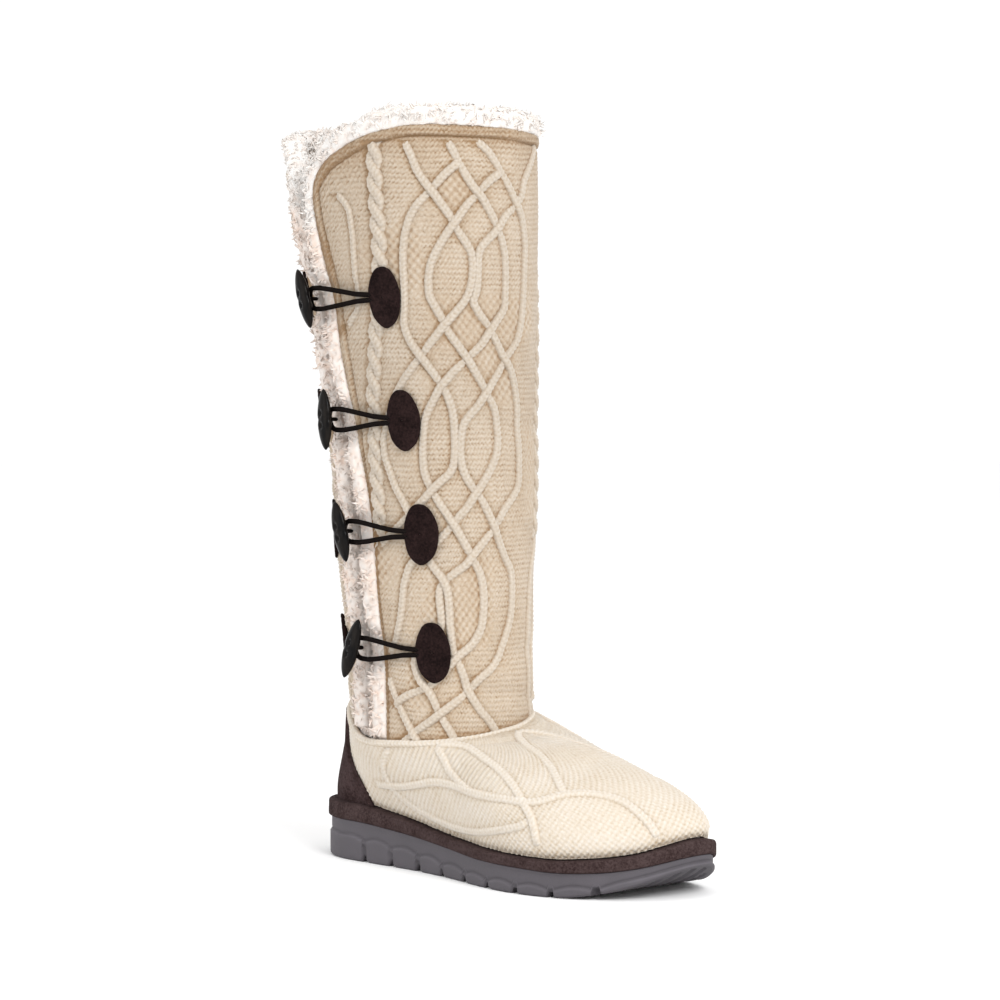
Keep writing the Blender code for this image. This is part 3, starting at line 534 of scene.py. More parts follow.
# The foot's strands: place along the feather line, 272 at the toe and on to FOOT_ROUND at the medial heel, and share
# of the way from the welt up to the seam.
FOOT_STRANDS = (
    ((148, 0.96), (172, 0.955), (186, 0.9), (193, 0.79), *foot_places(INSTEP_SEEN), (208, 0.44), (210, 0.3),
     *foot_places(INSTEP_LOW_SEEN), (208, 0.06)),
    ((275, 0.99), (262, 0.95), (254, 0.88), (252, 0.81), (250, 0.76), *foot_places(VAMP_SEEN), (238, 0.47)),
    ((64, 0.28), *foot_places(SIDE_SEEN), (258, 0.45), *foot_places(TOE_SEEN), (263.5, 0.13), (264, 0.05)),
    ((148, 0.96), *foot_places(ANKLE_SEEN), (163, 0.44)),
    ((101, 0.97), *foot_places(HEEL_SEEN), (87, 0.22), (97, 0.14), (112, 0.1), (134, 0.08), (156, 0.1),
     (180, 0.16), (200, 0.22), (210, 0.3)),
)


# Meshes.


def grid_quads(rows, columns, closed):
    """The corners of a grid's quads, row by row; a closed grid's last column joins its first."""
    r, c = np.meshgrid(np.arange(rows - 1), np.arange(columns if closed else columns - 1), indexing="ij")
    after = (c + 1) % columns
    quads = np.stack([r * columns + c, r * columns + after, (r + 1) * columns + after, (r + 1) * columns + c], -1)
    return quads.reshape(-1, 4)


class Cloth:
    """Grids of points gathered into one mesh, with a UV map and a tone from 0, deep and dark, to 1, high and light:
    painted shade.
    """

    def __init__(self):
        self.points, self.quads, self.tris, self.uv, self.tone, self.count = [], [], [], [], [], 0

    def add(self, points, uv, tone, closed=False):
        """A grid whose rows climb and whose columns run counter-clockwise seen from above, closed or not."""
        rows, columns = points.shape[:2]
        self.quads.append(grid_quads(rows, columns, closed) + self.count)
        self.points.append(points.reshape(-1, 3))
        self.uv.append(np.broadcast_to(uv, (*points.shape[:2], 2)).reshape(-1, 2))
        self.tone.append(np.broadcast_to(tone, points.shape[:2]).reshape(-1))
        self.count += rows * columns

    def add_many(self, rings, tips, uv, tone):
        """Many closed tapered rods at once: rings (rods, rows, sides, 3) and their tips (rods, 3)."""
        rods, rows, sides = rings.shape[:3]
        each = rows * sides + 1
        last = (rows - 1) * sides + np.arange(sides)
        tri = np.stack([last, (rows - 1) * sides + (np.arange(sides) + 1) % sides, np.full(sides, rows * sides)], -1)
        start = self.count + np.arange(rods)[:, None, None] * each
        self.quads.append((grid_quads(rows, sides, True) + start).reshape(-1, 4))
        self.tris.append((tri + start).reshape(-1, 3))
        points = np.concatenate([rings.reshape(rods, -1, 3), tips[:, None]], axis=1)
        self.points.append(points.reshape(-1, 3))
        self.uv.append(uv.reshape(-1, 2))
        self.tone.append(tone.reshape(-1))
        self.count += rods * each

    def make(self, name, finish, slot, replaces=(), smooth=True):
        """The mesh object, moved into the world and riding on the boot."""
        points = np.concatenate(self.points) - (HEEL_REST_X, 0, 0)
        quads = np.concatenate(self.quads)
        tris = np.concatenate(self.tris) if self.tris else np.zeros((0, 3), int)
        corners = np.concatenate([quads.ravel(), tris.ravel()])
        starts = np.concatenate([np.arange(len(quads)) * 4, len(quads) * 4 + np.arange(len(tris)) * 3])
        mesh = bpy.data.meshes.new(name)
        mesh.vertices.add(len(points))
        mesh.vertices.foreach_set("co", (points * MM).ravel())
        mesh.loops.add(len(corners))
        mesh.loops.foreach_set("vertex_index", corners.astype(np.int32))
        mesh.polygons.add(len(starts))
        mesh.polygons.foreach_set("loop_start", starts.astype(np.int32))
        mesh.update(calc_edges=True)
        if smooth:
            mesh.shade_smooth()
        else:
            mesh.shade_flat()
        mesh.uv_layers.new(name="UVMap").data.foreach_set("uv", np.concatenate(self.uv)[corners].ravel())
        mesh.attributes.new("tone", "FLOAT", "POINT").data.foreach_set("value", np.concatenate(self.tone))
        mesh.materials.append(finish)
        piece = bpy.data.objects.new(name, mesh)
        bpy.context.scene.collection.objects.link(piece)
        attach(piece, "root")
        if replaces:
            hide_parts(*replaces)
        return piece


def even(points, step):
    """Rows of numbers read again at even steps along the path that their first three columns make."""
    gone = along_path(points[:, :3])
    at = np.linspace(0, gone[-1], max(3, int(round(gone[-1] / step)) + 1))
    return np.stack([np.interp(at, gone, points[:, k]) for k in range(points.shape[1])], -1)


def knitted_strand(cloth, centre, normal, width, over, light=1.0, across=9):
    """A strand of two columns of stitches: a rounded band with a groove down its middle, and V-shaped stitches."""
    along = unit(np.gradient(centre, axis=0))
    side = unit(np.cross(normal, along))
    normal = np.cross(along, side)
    gone = along_path(centre)
    v = np.sin(np.linspace(-1, 1, across) * np.pi / 2)
    crown = (1 - np.abs(v) ** 2.6) ** 0.6
    stitch = np.cos(2 * np.pi * (gone[:, None] / ROW + 0.5 * np.abs(v))) * (1 - v**8)
    groove = hump(v, 0.2)
    rise = -STRAND_SINK + (STRAND_HEIGHT + STRAND_SINK) * crown - 0.45 * groove + 0.26 * stitch
    lift = rise + over[:, None]
    half = np.broadcast_to(width, gone.shape)[:, None] / 2 * (1 + 0.06 * stitch)
    points = centre[:, None] + side[:, None] * (v * half)[..., None] + normal[:, None] * lift[..., None]
    # Painted shade on the strand's flanks and in its groove, lighter on the stitches' tops.
    tone = light * (0.80 + 0.16 * stitch - 0.16 * groove - 0.55 * (1 - crown))
    uv = paired(v * STRAND_WIDTH / 20, gone[:, None] / 10)
    cloth.add(points[:, ::-1], uv[:, ::-1], np.clip(tone, 0, 1)[:, ::-1])


def tube(cloth, centre, normal, radius, sides=10, tone=0.8):
    """A round cord: circles along a path, closed at both ends."""
    along = unit(np.gradient(centre, axis=0))
    side = unit(np.cross(normal, along))
    normal = np.cross(along, side)
    turn = np.arange(sides) * 2 * np.pi / sides
    gone = along_path(centre)
    radius = np.broadcast_to(radius, gone.shape)
    circle = side[:, None] * np.cos(turn)[:, None] + normal[:, None] * np.sin(turn)[:, None]
    rings = centre[:, None] + circle * radius[:, None, None]
    rings = np.concatenate([centre[None, :1].repeat(sides, 1), rings, centre[None, -1:].repeat(sides, 1)])
    gone = np.r_[gone[0], gone, gone[-1]]
    uv = paired(turn / (2 * np.pi), gone[:, None] / 10)
    cloth.add(rings, uv, tone, closed=True)


# Materials.


def nodes_of(name, roughness, **fixed):
    """A new material, its shader and a function that adds a linked node."""
    made = bpy.data.materials.new(name)
    made.use_nodes = True
    tree = made.node_tree
    shader = tree.nodes["Principled BSDF"]
    shader.inputs["Roughness"].default_value = roughness
    for socket, value in fixed.items():
        shader.inputs[socket.replace("_", " ")].default_value = value

    def add(kind, settings=None, **inputs):
        node = tree.nodes.new("ShaderNode" + kind)
        for key, value in (settings or {}).items():
            setattr(node, key, value)
        for key, value in inputs.items():
            socket = node.inputs[int(key[1:]) if key[0] == "i" and key[1:].isdigit() else key.replace("_", " ")]
            if isinstance(value, bpy.types.NodeSocket):
                tree.links.new(value, socket)
            else:
                socket.default_value = value
        return node

    def link(source, socket):
        tree.links.new(source, shader.inputs[socket])

    return made, add, link


def object_place(add):
    return add("TexCoord").outputs["Object"]


def knit_tone(add):
    """The tone that each mesh carries from its own relief: painted shade in its hollows and light on what stands high.
    """
    return add("Attribute", {"attribute_name": "tone"}).outputs["Fac"]


def grain(add, place, scale, detail, roughness=0.5):
    """Noise from 0 to 1, with so many cells to a metre."""
    return add("TexNoise", Vector=place, Scale=scale, Detail=detail, Roughness=roughness).outputs["Fac"]


def ramp(add, value, *stops):
    """A colour ramp between (place, colour) stops."""
    node = add("ValToRGB", Fac=value)
    elements = node.color_ramp.elements
    while len(elements) < len(stops):
        elements.new(0.5)
    for element, (place, color) in zip(elements, stops):
        element.position = place
        element.color = (*color, 1)
    return node.outputs["Color"]


def mixed(add, first, second, share, blend="MIX"):
    return add("Mix", {"data_type": "RGBA", "blend_type": blend}, i0=share, i6=first, i7=second).outputs[2]


def calculated(add, operation, first, second):
    return add("Math", {"operation": operation}, i0=first, i1=second).outputs[0]


def unsettled(add, tone, cloud, amount):
    """A tone moved up and down by noise."""
    return calculated(add, "ADD", tone, calculated(add, "MULTIPLY", calculated(add, "SUBTRACT", cloud, 0.5), amount))


def bumped(add, link, height, distance):
    """Fine relief, its distance in millimetres."""
    link(add("Bump", Height=height, Distance=distance * MM, Strength=1.0).outputs["Normal"], "Normal")


# Painted shade on the knit from the floor up, darkest a little above mid height: share of this height and a factor.
PAINTED_SHADE_HEIGHT = 420
PAINTED_SHADE_BY_HEIGHT = ((0.0, 1.0), (0.28, 1.0), (0.46, 0.93), (0.64, 0.86), (0.80, 0.89), (1.0, 0.90))


def yarn_finish(name, deep, middle, high, fuzz):
    """Wool yarn: colour from the knit's own depth, which paints shade into its hollows, blotched, and painted darker
    with height from the floor up as shade, most a little above mid height, with fine fibres and loose fuzz in the bump."""
    made, add, link = nodes_of(name, 0.92, Sheen_Weight=0.12, Sheen_Roughness=0.6, Specular_IOR_Level=0.2)
    place = object_place(add)
    tone = knit_tone(add)
    blotch = grain(add, place, 60.0, 3.0)
    fleck = grain(add, place, 650.0, 2.0, 0.6)
    color = ramp(add, unsettled(add, tone, fleck, 0.8), (0.05, deep), (0.5, middle), (0.95, high))
    warm = mixed(add, color, (*middle, 1), calculated(add, "MULTIPLY", blotch, 0.25))
    # Painted shade: the colour is darkened with height, most a little above mid height.
    height = calculated(add, "DIVIDE", add("SeparateXYZ", i0=place).outputs[2], PAINTED_SHADE_HEIGHT * MM)
    painted_height_shade = ramp(add, height, *((share, (pale, pale, pale)) for share, pale in PAINTED_SHADE_BY_HEIGHT))
    link(mixed(add, warm, painted_height_shade, 1.0, "MULTIPLY"), "Base Color")
    fibre = grain(add, place, 1500.0, 4.0, 0.7)
    strand = grain(add, place, 420.0, 2.0)
    bumped(add, link, calculated(add, "ADD", fibre, strand), fuzz)
    return made


def plush_finish(name, deep, middle, high):
    """Soft pile: colour from root to tip, with pinkish painted shade at the roots, between the clumps and down the
    slit.
    """
    made, add, link = nodes_of(name, 0.95, Sheen_Weight=0.08, Sheen_Roughness=0.7, Specular_IOR_Level=0.05)
    place = object_place(add)
    tone = knit_tone(add)
    blotch = grain(add, place, 110.0, 3.0)
    link(ramp(add, unsettled(add, tone, blotch, 0.5), (0.0, deep), (0.45, middle), (0.9, high)), "Base Color")
    bumped(add, link, grain(add, place, 1800.0, 3.0), 0.5)
    return made


def suede_finish(name, dark, light):
    """Napped suede: brushed lighter and darker patches over a fine dense nap, with painted highlights as lighter flecks
    where it catches the light.
    """
    made, add, link = nodes_of(name, 0.95, Specular_IOR_Level=0.06)
    place = object_place(add)
    brushed = grain(add, place, 90.0, 4.0, 0.65)
    nap = grain(add, place, 1300.0, 4.0, 0.7)
    fleck = grain(add, place, 750.0, 3.0, 0.75)
    both = calculated(add, "ADD", calculated(add, "MULTIPLY", brushed, 0.4), calculated(add, "MULTIPLY", fleck, 0.6))
    # Painted highlights: the flecks lighten the colour.
    link(ramp(add, both, (0.40, dark), (0.60, light)), "Base Color")
    bumped(add, link, calculated(add, "ADD", nap, fleck), 0.45)
    return made


def foam_finish():
    """Moulded foam rubber: a fine even skin, lighter on what stands proud and darker with painted shade in its grooves
    and notches.
    """
    made, add, link = nodes_of("moulded_foam", 0.7, Specular_IOR_Level=0.35)
    place = object_place(add)
    tone = knit_tone(add)
    cloud = grain(add, place, 70.0, 4.0)
    shade = calculated(add, "ADD", calculated(add, "MULTIPLY", tone, 0.7), calculated(add, "MULTIPLY", cloud, 0.3))
    color = ramp(add, shade, (0.1, (0.028, 0.025, 0.029)), (0.6, (0.082, 0.074, 0.084)), (0.95, (0.15, 0.14, 0.16)))
    link(color, "Base Color")
    bumped(add, link, grain(add, place, 1400.0, 3.0), 0.18)
    link(add("MapRange", Value=cloud, i3=0.55, i4=0.85).outputs[0], "Roughness")
    return made


def horn_finish():
    """Polished horn: near black with faint brown streaks along it, under a clear gloss."""
    made, add, link = nodes_of("polished_horn", 0.2, IOR=1.2, Specular_IOR_Level=0.3)
    place = object_place(add)
    long = add("Mapping", Vector=place, Scale=(300, 300, 60)).outputs[0]
    streak = grain(add, long, 1.0, 4.0)
    link(ramp(add, streak, (0.35, (0.003, 0.003, 0.0035)), (0.75, (0.014, 0.011, 0.009))), "Base Color")
    link(add("MapRange", Value=streak, i3=0.1, i4=0.25).outputs[0], "Roughness")
    bumped(add, link, streak, 0.08)
    return made


def braid_finish():
    """Braided elastic: two sets of slanting strands that cross round the cord."""
    made, add, link = nodes_of("braided_elastic", 0.85, Specular_IOR_Level=0.0)
    uv = add("SeparateXYZ", i0=add("TexCoord").outputs["UV"])
    around = calculated(add, "MULTIPLY", uv.outputs[0], 6 * 2 * np.pi)
    length = calculated(add, "MULTIPLY", uv.outputs[1], 6 * 2 * np.pi)
    rise = calculated(add, "SINE", calculated(add, "ADD", around, length), 0.0)
    fall = calculated(add, "SINE", calculated(add, "SUBTRACT", around, length), 0.0)
    braid = calculated(add, "MAXIMUM", rise, fall)
    link(ramp(add, braid, (0.0, (0.003, 0.0025, 0.0025)), (1.0, (0.017, 0.013, 0.012))), "Base Color")
    bumped(add, link, braid, 0.25)
    return made


# The strands and the foot are of the ground's yarn; their two copies are painted lighter for the light that the proud
# strands and the foot catch.
YARN = yarn_finish("ivory_yarn", (0.25, 0.145, 0.065), (0.43, 0.335, 0.24), (0.55, 0.475, 0.39), 0.35)
STRAND_YARN_PAINTED_LIGHTER = yarn_finish("ivory_yarn_painted_lighter_strands", (0.28, 0.19, 0.115), (0.47, 0.39, 0.305), (0.585, 0.525, 0.45), 0.4)
FOOT_YARN_PAINTED_LIGHTER = yarn_finish("ivory_yarn_painted_lighter_foot", (0.37, 0.26, 0.15), (0.57, 0.495, 0.40), (0.66, 0.615, 0.56), 0.35)
PLUSH = plush_finish("cream_plush", (0.70, 0.56, 0.475), (0.70, 0.63, 0.58), (0.71, 0.695, 0.675))
FLEECE = plush_finish("cream_fleece", (0.40, 0.31, 0.24), (0.58, 0.50, 0.42), (0.70, 0.65, 0.57))
SUEDE = suede_finish("brown_suede_nap", (0.006, 0.003, 0.003), (0.022, 0.0118, 0.0112))
COUNTER_SUEDE = suede_finish("counter_suede_nap", (0.022, 0.012, 0.0115), (0.062, 0.040, 0.040))
WELT_SUEDE = suede_finish("welt_suede_nap", (0.026, 0.015, 0.0145), (0.064, 0.043, 0.042))
FOAM = foam_finish()
HORN = horn_finish()
BRAID = braid_finish()


# The knit shaft.


def softened(values, radius):
    """A running mean over a few samples, ends kept."""
    kernel = np.hanning(2 * radius + 1)
    padded = np.pad(values, radius, mode="reflect", reflect_type="odd")
    return np.convolve(padded, kernel / kernel.sum(), mode="valid")


def charted(chart, turn, step):
    """A strand's heights from the top down, and its angles there: its chart's points joined up and smoothed."""
    rows = np.array(chart, float)[::-1]
    z = np.arange(rows[0, 0], rows[-1, 0], step)[::-1]
    return z, softened(np.interp(z, rows[:, 0], rows[:, 1] + turn), 4)


def cable_routes():
    """Every strand on the shaft, from the collar down: heights, angles, width, kind and a rope's lift."""
    routes = []
    for turn in LATTICE_TURNS:
        for chart in LATTICE:
            z, angle = charted(chart, turn, 1.0)
            routes.append({"z": z, "angle": angle, "width": STRAND_WIDTH, "kind": "lattice"})
    z, angle = charted(EDGE_STRAND, 0.0, 1.0)
    routes.append({"z": z, "angle": angle, "width": EDGE_STRAND_WIDTH, "kind": "edge"})
    for turn in LATTICE_TURNS:
        z, centre = charted(ROPE, turn, 0.7)
        for phase in (0, np.pi):
            helix = 2 * np.pi * z / ROPE_PERIOD + phase
            angle = centre - np.cos(helix) * ROPE_REACH / mm_per_degree(centre, z)
            over = ROPE_LIFT * np.sin(helix)
            routes.append({"z": z, "angle": angle, "width": ROPE_STRAND, "kind": "rope", "over": over})
    return routes


def cross_over(routes):
    """Lattice strands pass over and under in turn where they cross: each route gets its extra lift."""
    lattice = [route for route in routes if route["kind"] == "lattice"]
    heights = np.arange(60, 412, 1.0)
    angles = np.array([np.interp(heights, r["z"][::-1], r["angle"][::-1], np.nan, np.nan) for r in lattice])
    met = []
    for i in range(len(lattice)):
        for j in range(i):
            apart = angles[i] - angles[j]
            change = np.where(apart[1:] * apart[:-1] < 0)[0]
            met += [(heights[k], i, j) for k in change]
    last = dict.fromkeys(range(len(lattice)), 0)
    for route in lattice:
        route["over"] = np.zeros(len(route["z"]))
    for z, i, j in sorted(met, reverse=True):
        top, low = (i, j) if last[i] <= last[j] else (j, i)
        last[top], last[low] = 1, -1
        lattice[top]["over"] += CROSS_RISE[0] * hump(lattice[top]["z"] - z, CROSS_RISE[1])
        lattice[low]["over"] -= CROSS_SINK[0] * hump(lattice[low]["z"] - z, CROSS_SINK[1])
    for route in routes:
        route.setdefault("over", np.zeros(len(route["z"])))


def beside_cords(angle, z):
    """1 where the toggles' cords lie on the knit, in front of and behind the slit, and 0 away from them."""
    low = np.abs(np.asarray(z)[..., None] - TOGGLES["z"]).min(axis=-1)
    front = ease((angle - 66) / 8) * ease((112 - angle) / 6)
    return ease((11 - low) / 4) * front


def shaft_dents(angle, z):
    """Soft creases and slack of the standing shaft: a few slanting troughs and broad waves."""
    dents = 0.0
    for depth, height, slant, pivot, width, middle, reach, fade in zip(*CREASES.values()):
        trough = depth * hump(z - height - slant * (angle - pivot), width)
        dents = dents - trough * ease((reach - np.abs(angle - middle)) / fade)
    return dents + 0.7 * noise(angle / 26, z / 45, 11)


def shaft_ground(angle, z, share, routes):
    """Lift and tone of the knitted ground: wavy purl rows, sunk beside the strands, with a stitched hem at its edge."""
    across = (1 - share) * KNIT_GIRTH
    wave = 0.2 * np.sin(2 * np.pi * (across / STITCH + noise(across / 12, z / 9, 8)))
    wave = wave + 0.5 * noise(across / 30, z / 24, 3)
    rows = 2 * np.abs(np.cos(np.pi * (z / ROW + wave))) ** 0.8 - 1
    rows += 0.3 * np.cos(2 * np.pi * across / STITCH) * np.cos(2 * np.pi * z / (2 * ROW))
    moss = np.cos(np.pi * across / STITCH + 0.4 * wave) * np.cos(np.pi * z / ROW)
    mossy = ease(noise(across / 26 + 4, z / 34, 21) * 3 - 0.9)
    relief = rows * (1 - mossy) + 1.15 * moss * mossy
    side = signed(angle)
    scale = mm_per_degree(angle, z)
    near = np.full(angle.shape, 99.0)
    shadow, crowd = np.zeros(angle.shape), np.zeros(angle.shape)
    for route in routes:
        place = np.interp(z, route["z"][::-1], route["angle"][::-1], np.nan, np.nan)
        slope = np.abs(np.gradient(route["angle"], route["z"]))
        lean = np.interp(z, route["z"][::-1], slope[::-1])
        apart = signed(angle - place) * scale / np.sqrt(1 + (lean * scale) ** 2)
        gap = np.abs(apart) - route["width"] / 2
        near = np.fmin(near, gap)
        shadow = np.fmax(shadow, hump(np.maximum(gap, 0), 1.5) * (apart > 0))
        crowd += np.nan_to_num(hump(np.maximum(gap, 0), 4.0))
    tuck = hump(np.maximum(near, 0), 1.5)
    front = (360 + front_edge(z) - angle) * scale
    rear = (angle - rear_edge(z)) * scale
    top_angle = between_edges(COLLAR_LINE, share)
    steep = np.gradient(collar_height(top_angle[0]), top_angle[0]) / scale[-1]
    below = (collar_height(top_angle) - z) / np.sqrt(1 + steep**2)
    edge = np.minimum(np.minimum(front, rear), below)
    past_hem = np.minimum(np.minimum(front, rear) - hem_width(z), below - HEM_WIDTH)
    hem = ease((0.4 - past_hem) / 0.8)
    groove = hump(past_hem - 0.4, 0.9)
    lift = GROUND_LIFT + 0.40 * relief - 0.45 * tuck + hem * 1.1 - 1.4 * groove + shaft_dents(side, z)
    lift -= 0.5 * beside_cords(side, z)
    rim = 1 - np.sqrt(1 - np.clip(1 - edge / 1.4, 0, 1) ** 2)
    lift = lift * (1 - rim) + RIM_LIFT * rim
    foot_edge = z - seam_height(angle) - SEAM_GAP / 2
    # Painted shade: in the hem's groove, beside the hem, below the collar under the fur, along the foot seam, by the
    # front edge and where strands crowd together.
    shade = 0.38 * groove + 0.10 * hump(past_hem, 8) + 0.20 * hump(below - 2, 9) + 0.08 * hump(below - 12, 24)
    shade += 0.5 * hump(foot_edge, 3.0) + 0.2 * hump(front - 1, 2.5) + 0.16 * np.clip(crowd - 0.9, 0, 1)
    # Tone: lighter stitch tops, painted shade in the rows' valleys, beside each strand and on one side of it, then
    # broken dashes of painted shade along the row valleys; random tone besides.
    contrast = 0.21 + 0.08 * noise(across / 16, z / 18, 15)
    row_valley_shade = np.clip(-rows, 0, 1) ** 2 * ease(1.3 * noise(across / 3.3, z / ROW, 17) + 0.3)
    tone = 0.60 + contrast * relief - 0.1 * tuck - 0.24 * shadow - shade + 0.09 * noise(across / 14, z / 17, 9)
    tone -= 0.38 * row_valley_shade
    return lift, np.clip(tone, 0, 1)


def make_knit_panel(name, first, last, across, up, routes, replaces=()):
    """The knitted ground between two shares of the way round, with so many points across and up."""
    angle, z, share = shaft_panel(first, last, across, up)
    lift, tone = shaft_ground(angle, z, share, routes)
    cloth = Cloth()
    cloth.add(ring(angle, z, lift), paired((1 - share) * KNIT_GIRTH / 10, z / 10), tone)
    cloth.make(name, YARN, "ivory_knit", replaces)


def make_cables(routes):
    """The strands as bands on the ground: a piece for each third of the way round, and one for the ropes."""
    groups = {"lateral": Cloth(), "medial": Cloth(), "rear": Cloth(), "ropes": Cloth()}
    for index, route in enumerate(routes):
        z, angle = route["z"], route["angle"]
        rear = rear_edge(z) - 360
        margin = (hem_width(z) + 2.2) / mm_per_degree(angle, z)
        ceiling = collar_height(angle + 360) - HEM_WIDTH + 1.8
        inside = (angle < front_edge(z) - margin) & (angle > rear + margin) & (z < ceiling)
        inside &= z > seam_height(angle) - 4.0
        lift = route["over"] + shaft_dents(signed(angle), z) - 1.15 * beside_cords(angle, z)
        starts = np.where(np.diff(np.r_[0, inside.astype(int)]) == 1)[0]
        ends = np.where(np.diff(np.r_[inside.astype(int), 0]) == -1)[0] + 1
        for start, end in zip(starts, ends):
            if end - start < 6:
                continue
            run = slice(start, end)
            data = np.c_[ring(angle[run], z[run]), ring_normal(angle[run], z[run]), lift[run]]
            data = even(data, 0.85)
            fade = np.minimum(np.arange(len(data)) / 5, np.arange(len(data))[::-1] / 5)
            over = data[:, 6] - 2.0 * (1 - ease(fade))
            if route["kind"] == "lattice":
                group = ("lateral", "medial", "rear")[index // len(LATTICE)]
            else:
                group = "lateral" if route["kind"] == "edge" else "ropes"
            knitted_strand(groups[group], data[:, :3], data[:, 3:6], route["width"], over)
    for name, cloth in groups.items():
        cloth.make(f"cables_{name}", STRAND_YARN_PAINTED_LIGHTER, "ivory_knit")


def make_shaft_lining():
    """Fleece inside the shaft: its edges meet the knit's, and between them it stands a wall's thickness in."""
    up = 110
    angle, z, share = shaft_panel(0, 1, 130, up)
    edge = np.minimum(np.minimum(share, 1 - share) * KNIT_GIRTH, np.linspace(1, 0, up)[:, None] * 330)
    fuzz = rough(share * KNIT_GIRTH / 5, z / 5, 31)
    lift = RIM_LIFT - 2.0 * ease(edge / 4) - 0.6 * (1 + fuzz) * ease(edge / 3)
    cloth = Cloth()
    uv = paired(share * KNIT_GIRTH / 10, z / 10)
    cloth.add(ring(angle, z, lift)[:, ::-1], uv[:, ::-1], 0.55 + 0.3 * fuzz[:, ::-1])
    cloth.make("shaft_lining", FLEECE, "fleece_lining")


def make_shaft():
    routes = cable_routes()
    cross_over(routes)
    make_knit_panel("knit_shaft_front", PANEL_SEAM, 1.0, 188, 465, routes, ("shaft",))
    make_knit_panel("knit_shaft_back", 0.0, PANEL_SEAM, 138, 285, routes)
    make_cables(routes)
    make_shaft_lining()


# The knit foot.


def make_foot():
    """The foot's moss-stitched ground, its strands on both sides, its rolled top edge and its fleece lining."""
    face, normal = FOOT_FACE, FOOT_NORMAL
    x, y, z = face[..., 0], face[..., 1], face[..., 2]
    rise = np.broadcast_to(FOOT_RISE[:, None], x.shape)
    feather = np.linalg.norm(np.roll(face[0], -1, axis=0) - face[0], axis=1)
    around = np.cumsum(feather) - feather[0]
    around = around * 2 * round(around[-1] / MOSS_STITCH / 2) / (around[-1] + feather[-1])
    climb = np.linalg.norm(np.diff(face, axis=0), axis=-1)
    up = np.concatenate([np.zeros((1, x.shape[1])), np.cumsum(climb / np.maximum(MOSS_STITCH, 2.1 * climb), axis=0)])
    up = up + 0.5 * noise(x / 30, y / 30, 5)
    shift = 0.25 * noise(x / 14, z / 14, 6)
    seeds = np.cos(np.pi * (around + shift)) * np.cos(np.pi * up)
    columns = np.cos(2 * np.pi * (around + shift))
    relief = (0.95 + 0.25 * noise(x / 16, z / 12, 7)) * seeds + 0.12 * columns
    near = np.full(x.shape, 99.0)
    centres = []
    for chart in FOOT_STRANDS:
        for mirrored in (False, True):
            steps = np.array(chart, float)
            if mirrored:
                steps[:, 0] = FOOT_ROUND - steps[:, 0]
            t = np.linspace(0, 1, 160)
            at = np.linspace(0, 1, len(steps))
            along, up = (softened(np.interp(t, at, steps[:, k]), 7) for k in (0, 1))
            data = np.c_[on_foot(face, along, up), on_foot(normal, along, up)]
            centres.append(even(data, 0.9))
    for data in centres:
        for part in np.array_split(data[::3, :3], 12):
            low, high = part.min(0) - 5, part.max(0) + 5
            k = np.where(((face > low) & (face < high)).all(-1))
            gap = np.linalg.norm(face[k][:, None] - part[None], axis=-1).min(axis=1) - STRAND_WIDTH / 2
            near[k] = np.minimum(near[k], gap)
    tuck = hump(np.maximum(near, 0), 1.4)
    lift = -0.6 + 0.5 * relief - 0.3 * tuck
    lift += -0.9 * hump(rise - 0.93, 0.02) * ease((x - 120) / 30)
    lift += 0.6 * noise(x / 35, y / 30, 41) * ease(4 * rise) * ease(5 * (1 - rise))
    for depth, place, slant, width, lowest in zip(*INSTEP_CREASES.values()):
        lift -= depth * hump(x - place - slant * np.abs(y), width) * ease((rise - lowest) / 0.2)
    lift += -0.8 * hump(rise, 0.03)
    cloth = Cloth()
    # Painted shade: lighter seed tops and darker dips, darker beside the strands, along the welt and under the seam
    # strand at the top; random tone besides.
    tone = 0.62 + 0.28 * relief - 0.12 * tuck - 0.25 * hump(rise, 0.05) - 0.25 * hump(rise - 1, 0.03)
    tone = tone + 0.08 * noise(x / 12, z / 10, 12)
    uv = paired(x / 10, (z + np.abs(y)) / 10)
    cloth.add(face + normal * lift[..., None], uv, np.clip(tone, 0, 1), closed=True)
    cloth.make("knit_foot", FOOT_YARN_PAINTED_LIGHTER, "ivory_knit", ("upper",))

    strands = Cloth()
    for index, data in enumerate(centres):
        fade = np.minimum(np.arange(len(data)), np.arange(len(data))[::-1]) / 6
        over = (0.1 if index // 2 in (0, 2) else -0.25) - 1.8 * (1 - ease(fade))
        knitted_strand(strands, data[:, :3], data[:, 3:], FOOT_STRAND_WIDTH, over)
    angle = np.linspace(-180, 180, 521)
    path = ring(angle, seam_height(angle) - 0.9, FOOT_OVERLAP)
    outward = ring_normal(angle, seam_height(angle)) + (0, 0, 0.5)
    knitted_strand(strands, path, unit(outward), SEAM_STRAND_WIDTH, np.full(len(angle), 0.1), 0.95)
    strands.make("foot_cables", FOOT_YARN_PAINTED_LIGHTER, "ivory_knit")

    fuzz = rough(x[::3, ::3] / 5, (z + np.abs(y))[::3, ::3] / 5, 33)
    depth = 1.5 + 1.9 * ease(rise[::3, ::3] / 0.04) * ease((1 - rise[::3, ::3]) / 0.04) + 0.4 * fuzz
    inner = face[::3, ::3] - normal[::3, ::3] * depth[..., None]
    lining = Cloth()
    lining.add(inner[:, ::-1], uv[::3, ::3][:, ::-1], 0.55 + 0.3 * fuzz[:, ::-1], closed=True)
    lining.make("foot_lining", FLEECE, "fleece_lining")


# Sole, welt, insole and heel counter.


